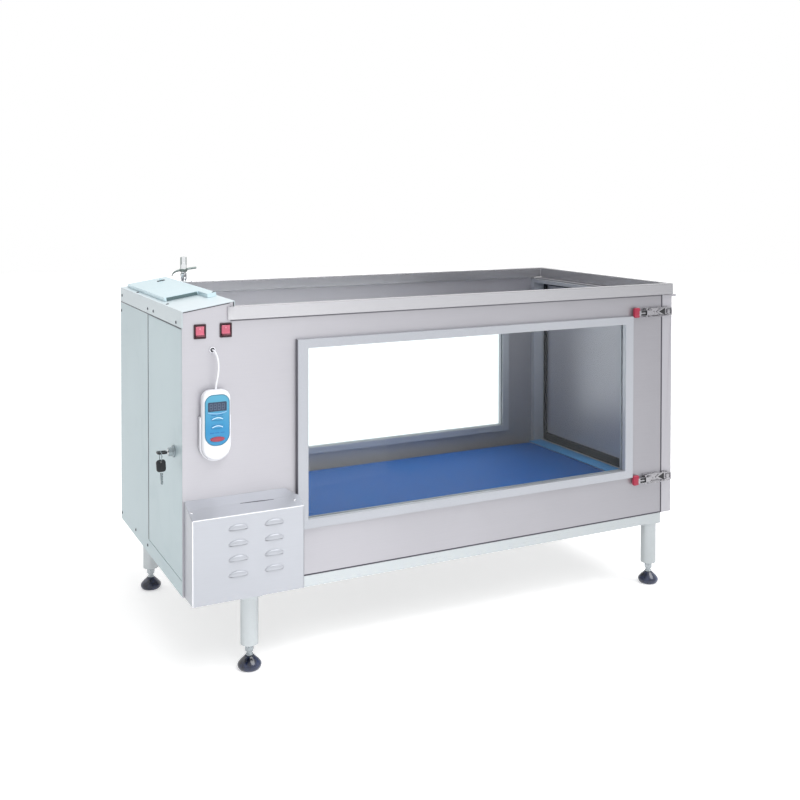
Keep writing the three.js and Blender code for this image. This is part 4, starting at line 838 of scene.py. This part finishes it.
def handset_outline(grow, steps=12):
    """The handset's outline, larger on every side by grow."""
    bottom = HANDSET_BOTTOM - grow
    return rounded(about(HANDSET_X, (HANDSET_WIDTH + 2 * grow) / 2),
            (bottom, bottom + (HANDSET_HEIGHT + 2 * grow)), 24 + grow, steps, 38 + grow)


def dome_button(z, a, b):
    """An oval button with a crowned face."""
    return loft([[(x, LABEL_Y - proud, h)
            for x, h in arc((HANDSET_X, z), (a * grow, b * grow), 0, 350, 35)]
            for grow, proud in ((1, -1.9), (1, 0.9), (0.93, 1.6), (0.7, 1.96), (0.35, 2))])


shell = loft([[(x, y, z) for x, z in handset_outline(-inset)] for y, inset in (
    (HANDSET_BACK, 5), (HANDSET_BACK - 1.2, 2.2), (HANDSET_BACK - 4, 0.4), (-14, 0), (-24, 0.2),
    (-29, 1.4), (-32, 3.4), (-33.5, 6), (HANDSET_FRONT, 9))])
piece("handset_shell", "handset", white_plastic, [shell,
    lathe([(0, 6), (3.6, 6), (4.2, 3), (4.4, -3), (0, -3)], "z",
          (HANDSET_X, -20, HANDSET_BOTTOM + HANDSET_HEIGHT - 6.2), 24)], "handset_body")

LABEL = rounded((53.5, 120.5), (413, 550), 22, 12, 30)
BUTTON_PLACES = {"up_button": (486, 17.5, 4.5), "down_button": (464, 17.5, 4.5),
        "stop_button": (430, 20, 6.5)}
button_holes = [arc((HANDSET_X, z), (a + 0.3, b + 0.3), 360, 10, 35)
        for z, a, b in BUTTON_PLACES.values()]
piece("handset_print", "handset", label_print,
      [plate([LABEL, *button_holes], "y", (LABEL_Y, HANDSET_FRONT + 0.6), 0.35)], "handset_label")
piece("handset_label_edge", "handset", label_edge,
      [tube([(x, LABEL_Y + 0.5, z) for x, z in LABEL], 1.1, closed=True, sides=8)])
piece("handset_display", "handset", display_dark,
      [plate([rounded((61, 113), (506, 531), 2.5)], "y", (LABEL_Y - 0.7, LABEL_Y + 0.3), 0.3)])
piece("display_digits", "handset", display_cell, [plate([rectangle((left, left + 8), (510, 527)),
           rectangle((left + 1.8, left + 6.2), (519.6, 525.2)),
           rectangle((left + 1.8, left + 6.2), (511.8, 517.6))], "y",
          (LABEL_Y - 0.95, LABEL_Y - 0.5), 0.1, 1) for left in (65.5, 76.7, 87.9, 99.1)])
piece("display_arc", "handset", arc_blue, [
    tube([(x, LABEL_Y - 0.2, 503.5 - 4.5 * math.cos((x - 87) / 27 * math.pi / 2))
          for x in range(61, 114, 2)], 1.2, sides=8)])
piece("label_dashes", "handset", ink_blue, [
    block((start, end), (LABEL_Y - 0.25, LABEL_Y + 0.2), about(z, 1), 0.1, 1)
    for z, start, end in ((495.5, 70, 84), (495.5, 87, 103), (447.5, 66, 78), (447.5, 81, 92),
        (447.5, 96, 107))])
for name, (z, a, b) in BUTTON_PLACES.items():
    stops = name == "stop_button"
    piece(name + "_cap", name, stop_red if stops else label_print, [dome_button(z, a, b)], name)
    if not stops:
        bow = [(HANDSET_X + s * 14.5, LABEL_Y - 1.7 + 0.6 * abs(s), z + 2.6 - 4.2 * s * s)
               for s in [k / 10 for k in range(-10, 11)]]
        piece(name + "_chevron", name, button_white, [tube(bow, 1.5, sides=8)])

# Handset holder: a cup that the handset stands in.
HOLDER_TOP = 489
outer, inner = [[point for point in handset_outline(grow, 16) if point[1] <= HOLDER_TOP - 2]
        for grow in (3.6, 0.6)]
outer_left, outer_right = (outer[0][0], HOLDER_TOP), (outer[-1][0], HOLDER_TOP)
cup = [*outer, outer_right, (inner[-1][0], HOLDER_TOP), *inner[::-1], (inner[0][0], HOLDER_TOP),
       outer_left]
piece("handset_cup", "body", white_plastic, [plate([cup], "y", (-18, -0.3), 0.8),
    plate([[*outer, outer_right, outer_left]], "y", (-4, -0.3), 0.5)], "handset_holder")


# Toggle latches, drawn about the door's seam at the middle of their height
def squared(value):
    """A cosine or sine that follows a square with round corners."""
    return math.copysign(abs(value) ** 0.6, value)


def rivet(x, y, z, crown, rim):
    """A rivet's head on the front of a sheet."""
    return lathe([(0, 0), (rim, 0), (crown, 1.4), (0, 1.7)], "y", (x, y, z), 20)


SEAM_X = 1658.25
PIVOT_X, PIVOT_Y, BAIL_X = -62.5, -11, -76.5
EAR = [(PIVOT_X - 8, -10), *arc((PIVOT_X, PIVOT_Y), (7, -7), 170, 10), (PIVOT_X + 8, -10),
       (PIVOT_X + 11, -2), (PIVOT_X - 11, -2)]
ARM = [(-108, -5.6), (-108, -16.6), (PIVOT_X, -17), *arc((PIVOT_X, PIVOT_Y), 6, -80, 80),
       (PIVOT_X, -5)]
PIN = [(0, -12.6), (3.4, -12.2), (3.4, -11.5), (2, -11.5), (2, 11.5), (3.4, 11.5), (3.4, 12.2),
       (0, 12.6)]
BAIL_PIN = [(0, -16), (3.4, -16), (3.4, -9.2), (2, -9.2), (2, 9.2), (3.4, 9.2), (3.4, 16), (0, 16)]
GRIP_SHARES = ((-130.5, 0.62), (-129.6, 0.84), (-127, 0.96), (-122, 1.0), (-112, 1.0),
        (-108.6, 0.95), (-107, 0.8))
BAIL = [(BAIL_X, -14), (-8, -14), (26, -12.5), (31, -9), (32, 0), (31, 9), (26, 12.5), (-8, 14),
        (BAIL_X, 14)]
STRIKE = [(4, -15), (24, -15), (38, -10), (38, 10), (24, 15), (4, 15)]
GUARD = [(-28, 0), (-24, -3.4), (7, -17), (17, -17), (17, 17), (7, 17), (-24, 3.4)]
GUARD_WINDOW = [(-17, 0), (9, -12), (9, 12)]
HOOK = [(16, -2), (16, -8.5), (31, -8.5), (31, -6.5), (24, -6.5), (24, -2)]
for level, height in (("upper", 690), ("lower", 125)):
    latch, spot = level + "_latch_", shift(SEAM_X, 0, height)
    piece(latch + "mount", "body", latch_steel, [
        plate([rounded((-84, -18), (-17, 17), 5)], "y", (-2.3, -0.3), 0.5),
        plate([EAR], "z", (-11.5, -9.5), 0.4), plate([EAR], "z", (9.5, 11.5), 0.4),
        lathe(PIN, "z", (PIVOT_X, PIVOT_Y, 0), 20),
        rivet(-78, -2.3, 0, 2.4, 3.4), rivet(-36, -2.3, 0, 2.4, 3.4)], latch + "base", spot)
    piece(latch + "arm", latch + "lever", latch_steel, [
        plate([ARM], "z", (-8.6, -6.2), 0.5), plate([ARM], "z", (6.2, 8.6), 0.5),
        plate([rounded((-112, PIVOT_X + 3), (-8.6, 8.6), 3)], "y", (-16.8, -14.4), 0.6),
    ], latch + "lever", spot)
    piece(latch + "insert", latch + "lever", black_plastic, [
        plate([rounded(x, z, 1.4)], "y", (-17, -16.4), 0.2)
        for x, z in (((-104, -80), (1.9, 7.9)), ((-104, -80), (-7.9, -1.9)),
            ((-86, -79), (-7.2, 7.2)))], spot=spot)
    piece(latch + "grip", latch + "lever", grip_red, [loft([
        [(x, -10 + 6.9 * share * squared(math.cos(a)), 2 + 17 * share * squared(math.sin(a)))
         for a in turns(32)] for x, share in GRIP_SHARES])], spot=spot)
    piece(latch + "wire", latch + "bail", latch_steel, [
        tube(smooth_route([(x, PIVOT_Y, z) for x, z in BAIL], 5), 1.9),
        lathe(BAIL_PIN, "z", (BAIL_X, PIVOT_Y, 0), 20)], latch + "bail", spot)
    piece(latch + "hook", "end_door", latch_steel, [
        plate([STRIKE], "y", (-2.7, -0.3), 0.5), plate([HOOK], "z", (-7, 7), 0.6),
        plate([GUARD, GUARD_WINDOW], "y", (-4.2, -2.6), 0.5)], latch + "catch", spot)
    piece(latch + "dark_bits", "end_door", black_plastic, [
        plate([GUARD_WINDOW], "y", (-3.3, -2.7), 0.15),
        rivet(33, -2.7, 6.5, 2, 2.8), rivet(33, -2.7, -6.5, 2, 2.8)], spot=spot)

# Levelling feet
THREAD_START, THREAD_PITCH, THREAD_TURNS = 70.7, 1.55, 40
CUP = [(0, 0), (26, 0), (28.4, 0.8), (30.6, 3), (32.6, 6.4), (33.8, 10), (34, 12.8), (33.4, 15.4),
       (31.4, 18.6), (28, 22.6), (23.4, 27.4), (19, 31.4), (15.6, 34.4), (14.2, 36), (13.6, 36.6),
       (10, 36.8), (0, 36.8)]
COLLAR = [(0, 36.5), (9.5, 36.5), (10.4, 38), (10.4, 42), (8.2, 44), (8.2, 48), (11, 50),
          (11.3, 52), (0, 52)]
NUT = [(0, 51.5), (12.6, 51.5), (13, 52.2), (13, 63), (12.4, 64), (0, 64)]
WASHER = [(0, 63.5), (11, 63.5), (11.5, 64.5), (11.5, 70.2), (11, 70.7), (0, 70.7)]
thread = [(0, 70), (7.9, 70)]
for k in range(THREAD_TURNS):
    height = THREAD_START + k * THREAD_PITCH
    thread += [(7.2, height + 0.6), (7.9, height + 1.3)]
thread.append((0, 132.9))
for corner, x, y in (("front_left", 197, 27), ("rear_left", 91, 747), ("front_right", 1626, 27),
        ("rear_right", 1626, 747)):
    foot, spot = "foot_" + corner, shift(x, y, FLOOR_LEVEL)
    piece("foot_cup_" + corner, foot, foot_black, [lathe(CUP, steps=48)], spot=spot)
    piece("foot_stem_" + corner, foot, stem_zinc, [
        lathe(COLLAR, steps=32), lathe(NUT, steps=6), lathe(WASHER, steps=32),
        lathe(thread, steps=24)], foot, spot)

# Faucet, drawn about its foot on the rim
FAUCET = shift(213, 774, 784.8)
LEVER_Z = 36
piece("faucet_body", "body", faucet_chrome, [
    plate([rounded((-30, 30), (-8, 8), 7)], "z", (0, 4), 1.4),
    lathe([(0, 3), (10, 3), (10.2, 8), (12.3, 12), (12.5, 20), (12.3, 29), (9.6, 32), (9.4, 58),
           (8.6, 60.5), (7.9, 62), (7.9, 85.5), (7.2, 87.4), (5, 88), (0, 88)]),
], "faucet_column", FAUCET)
# Painted shade: darker rods along the column's sides stand for its dark edges.
piece("faucet_edge_painted_shade", "body", lever_grey, [
    lathe([(0, 47), (2.1, 47), (2.1, 84.5), (1.4, 86), (0, 86)], "z", (x, 0, 0), 16)
    for x in (-8.6, 8.6)], spot=FAUCET)
sweep = smooth_route([(-40, 0, -12), (-36, 0, -3.5), (-28, 0, 1.8), (-14, 0, 6), (0, 0, 8.5),
    (20, 0, 10.6), (44, 0, 13.4)], 5)
HUB_EDGE = 10.5
blade_rings = [[(point.x, (6.8 - 1.8 * k / len(sweep)) * math.cos(a),
        LEVER_Z + point.z - 1 + 3.7 * math.sin(a)) for a in turns(16)]
        for k, point in enumerate(sweep)]
piece("faucet_handle", "faucet_lever", lever_grey, [
    loft([ring for ring, point in zip(blade_rings, sweep) if point.x < -HUB_EDGE]),
    loft([ring for ring, point in zip(blade_rings, sweep) if point.x > HUB_EDGE]),
    lathe([(9.85, 0), (13, 0), (14, 1.2), (14, 8.8), (13, 10), (9.85, 10), (9.85, 0)], "z",
          (0, 0, LEVER_Z))], "faucet_lever", FAUCET)

# Painted shade: dark strips on the window frame's left side and along the seams, and painted shadow
# under the rim's and the cover's front edges; and the service lid's clip, with painted shade at the
# lid's front and painted shadow under the clip
COVER_RISE = 0.1554
for name, material, spans in (
    ("window_side_painted_shade", painted_seam_shade_grey, (((326.9, 328.1), (-13.4, -0.2), (139.5, 680.5), 0.4),
        ((325.5, 329), (-1.2, 0.4), (136.5, 682), 0.5),
        ((327, 1526), (-0.9, 0.4), (136.2, 139.4), 0.4))),
    ("door_seam_painted_shade", painted_seam_shade_dark, (((1653.8, 1657.4), (-0.7, 0.6), (3, 745), 0.3),)),
    ("rim_edge_painted_shadow", painted_seam_shade_grey, (((135, 1657), (-0.7, 0.4), (743.2, 747.8), 0.3),)),
    ("skirt_seam_painted_shade", painted_seam_shade_dark, (((293, 1657), (-0.7, 0.4), (0.6, 4.4), 0.3),
        ((1, 1657), (773.6, 774.7), (0.6, 4.4), 0.3))),
    ("access_door_painted_shade", painted_seam_shade_grey, (((-0.6, 0.5), (384.6, 390), (44, 727), 0.25),
        ((-0.6, 0.5), (6, 772), (727.8, 730.4), 0.25)))):
    piece(name, "body", material, [block(*span) for span in spans])
piece("cover_edge_painted_shadow", "body", painted_seam_shade_dark, [loft([[(x, y, height + COVER_RISE * x)
     for y, height in ((-0.7, 771.6), (-0.7, 773.9), (0.4, 773.9), (0.4, 771.6))]
    for x in (3, 133)])])
# Painted shade: a dark strip at the raised lid's front stands for the shade under its edge.
piece("lid_lip_painted_shade", "service_lid", lid_front_shade_paint, [block((22, 114), (-1, 1), (1, 10.4), 0.6)],
      spot=on_cover(0, 246))
# Painted shadow: a dark block under the lid's clip.
piece("lid_clip_painted_shadow", "service_lid", hole_dark, [block((-12, 12), (-5, 5), (-0.3, 2.2), 0.6)],
      spot=on_cover(104, 640, LID_RISE))
piece("lid_clip_tab", "service_lid", lid_finish,
      [plate([[(-8, 0), (9, 0), (-1, 9)]], "y", (-1.2, 1.2), 0.3)],
      spot=on_cover(104, 640, LID_RISE + 1.8))

# The cabinet's front corner over the rim, and the rim's rounded end
piece("cabinet_corner_plate", "body", wall_steel, [plate([[
    (134.2, 784.6), (142.5, 784.6), (142.5, 773.4 + COVER_RISE * 142.5),
    (134.2, 773.4 + COVER_RISE * 134.2)]], "y", (0.2, 1.8), 0.2)])
piece("rim_end_return", "body", rim_steel, [
    plate([[*arc((136, -0.3), (10.8, 9.85), 180, 270, 12), (143, -10.15), (143, -9.7), (136, -9.7),
            (136, -0.3)]], "z", (748.4, 784.1), 0.1)])

# Painted highlights along the drive box's folds, at its front's left and upper edges
FOLD_RADIUS = 1.4
piece("box_fold_painted_highlights", "body", painted_highlight_steel, [tube([(BOX_LEFT + 0.9, BOX_FRONT + 0.9, 1),
          (BOX_LEFT + 0.9, BOX_FRONT + 0.9, EDGE_Z - 1)], FOLD_RADIUS),
    tube([(BOX_LEFT + 1, BOX_FRONT + 1.1, EDGE_Z - 0.9),
          (BOX_RIGHT - 1, BOX_FRONT + 1.1, EDGE_Z - 0.9)], FOLD_RADIUS)])

# Threshold strip at the doorway, and the motor's fins and terminal box
piece("doorway_threshold", "body", threshold_blue,
      [block((1613, 1672), (26, 748), (87.6, 89.4), 0.6)])
piece("motor_fins", "body", motor_paint, [
    lathe([(60, 0), (63, 0.4), (63, 2.2), (60, 2.6), (60, 0)], "y", (75, 40 + k * 9, 130))
    for k in range(14)])
piece("motor_junction_box", "body", motor_paint,
      [block((45, 105), (70, 140), (188, 214), 3), block((42, 108), (67, 143), (212, 218), 2)])


# Floor, world and lamps
def seen_or_lit(tree, seen, lit):
    """One strength for what is seen, also in reflections and through glass, and one for the
    light that falls on the object."""
    ray = node(tree, "ShaderNodeLightPath").outputs
    direct = maths("MAXIMUM", ray["Is Camera Ray"], ray["Is Glossy Ray"])
    direct = maths("MAXIMUM", direct, ray["Is Transmission Ray"])
    return mapped(direct, 0, 1, lit, seen)


WHITE = (1, 1, 1, 1)
FLOOR_RADIUS, FLOOR_DROP, FLOOR_STEPS = 14, -0.0005, 96
floor_material, floor_tree, floor_shader = new_material("pale_floor", {
    "Roughness": 0.9, "Specular IOR Level": 0.1, "Base Color": (0.9, 0.9, 0.9, 1),
    "Emission Color": WHITE})
floor_tree.links.new(seen_or_lit(floor_tree, 0.5, 0.14), floor_shader["Emission Strength"])
floor_mesh = bpy.data.meshes.new("floor")
floor_mesh.from_pydata([(FLOOR_RADIUS * math.cos(a), FLOOR_RADIUS * math.sin(a), FLOOR_DROP)
        for a in turns(FLOOR_STEPS)], [], [list(range(FLOOR_STEPS))])
floor_mesh.materials.append(floor_material)
floor = add("floor", floor_mesh)

world = bpy.data.worlds.new("pale_surround")
bpy.context.scene.world = world
world.use_nodes = True
sky = world.node_tree
background = sky.nodes["Background"].inputs
background["Color"].default_value = WHITE
sky.links.new(seen_or_lit(sky, 1.0, 0.42), background["Strength"])


def lamp(name, kind, way, power, **settings):
    """A lamp whose light goes one way."""
    light = configure(bpy.data.lights.new(name, kind), energy=power, **settings)
    turn = Vector(way).to_track_quat("-Z", "Y")
    return configure(add(name, light), rotation_mode="QUATERNION", rotation_quaternion=turn)


def soft_lamp(name, place, target, size, power):
    """A panel of light, in metres, that isn't seen in reflections."""
    made = lamp(name, "AREA", Vector(target) - Vector(place), power, shape="RECTANGLE",
                size=size[0], size_y=size[1])
    made.location = place
    made.visible_glossy = False


lamp("key_lamp", "SUN", (-0.33, 0.35, -0.877), 1.35, angle=math.radians(34))
lamp("rear_lamp", "SUN", (0.2, -0.5, -0.8), 0.4, angle=math.radians(60))
soft_lamp("left_wash", (-0.8, -1.8, 1.9), (-0.8, -0.35, 0.9), (0.9, 0.9), 16)
soft_lamp("low_wash", (-0.1, -1.9, 0.15), (0.1, -0.35, 0.2), (1.4, 0.3), 3.8)

bpy.context.scene.view_settings.view_transform = "Standard"
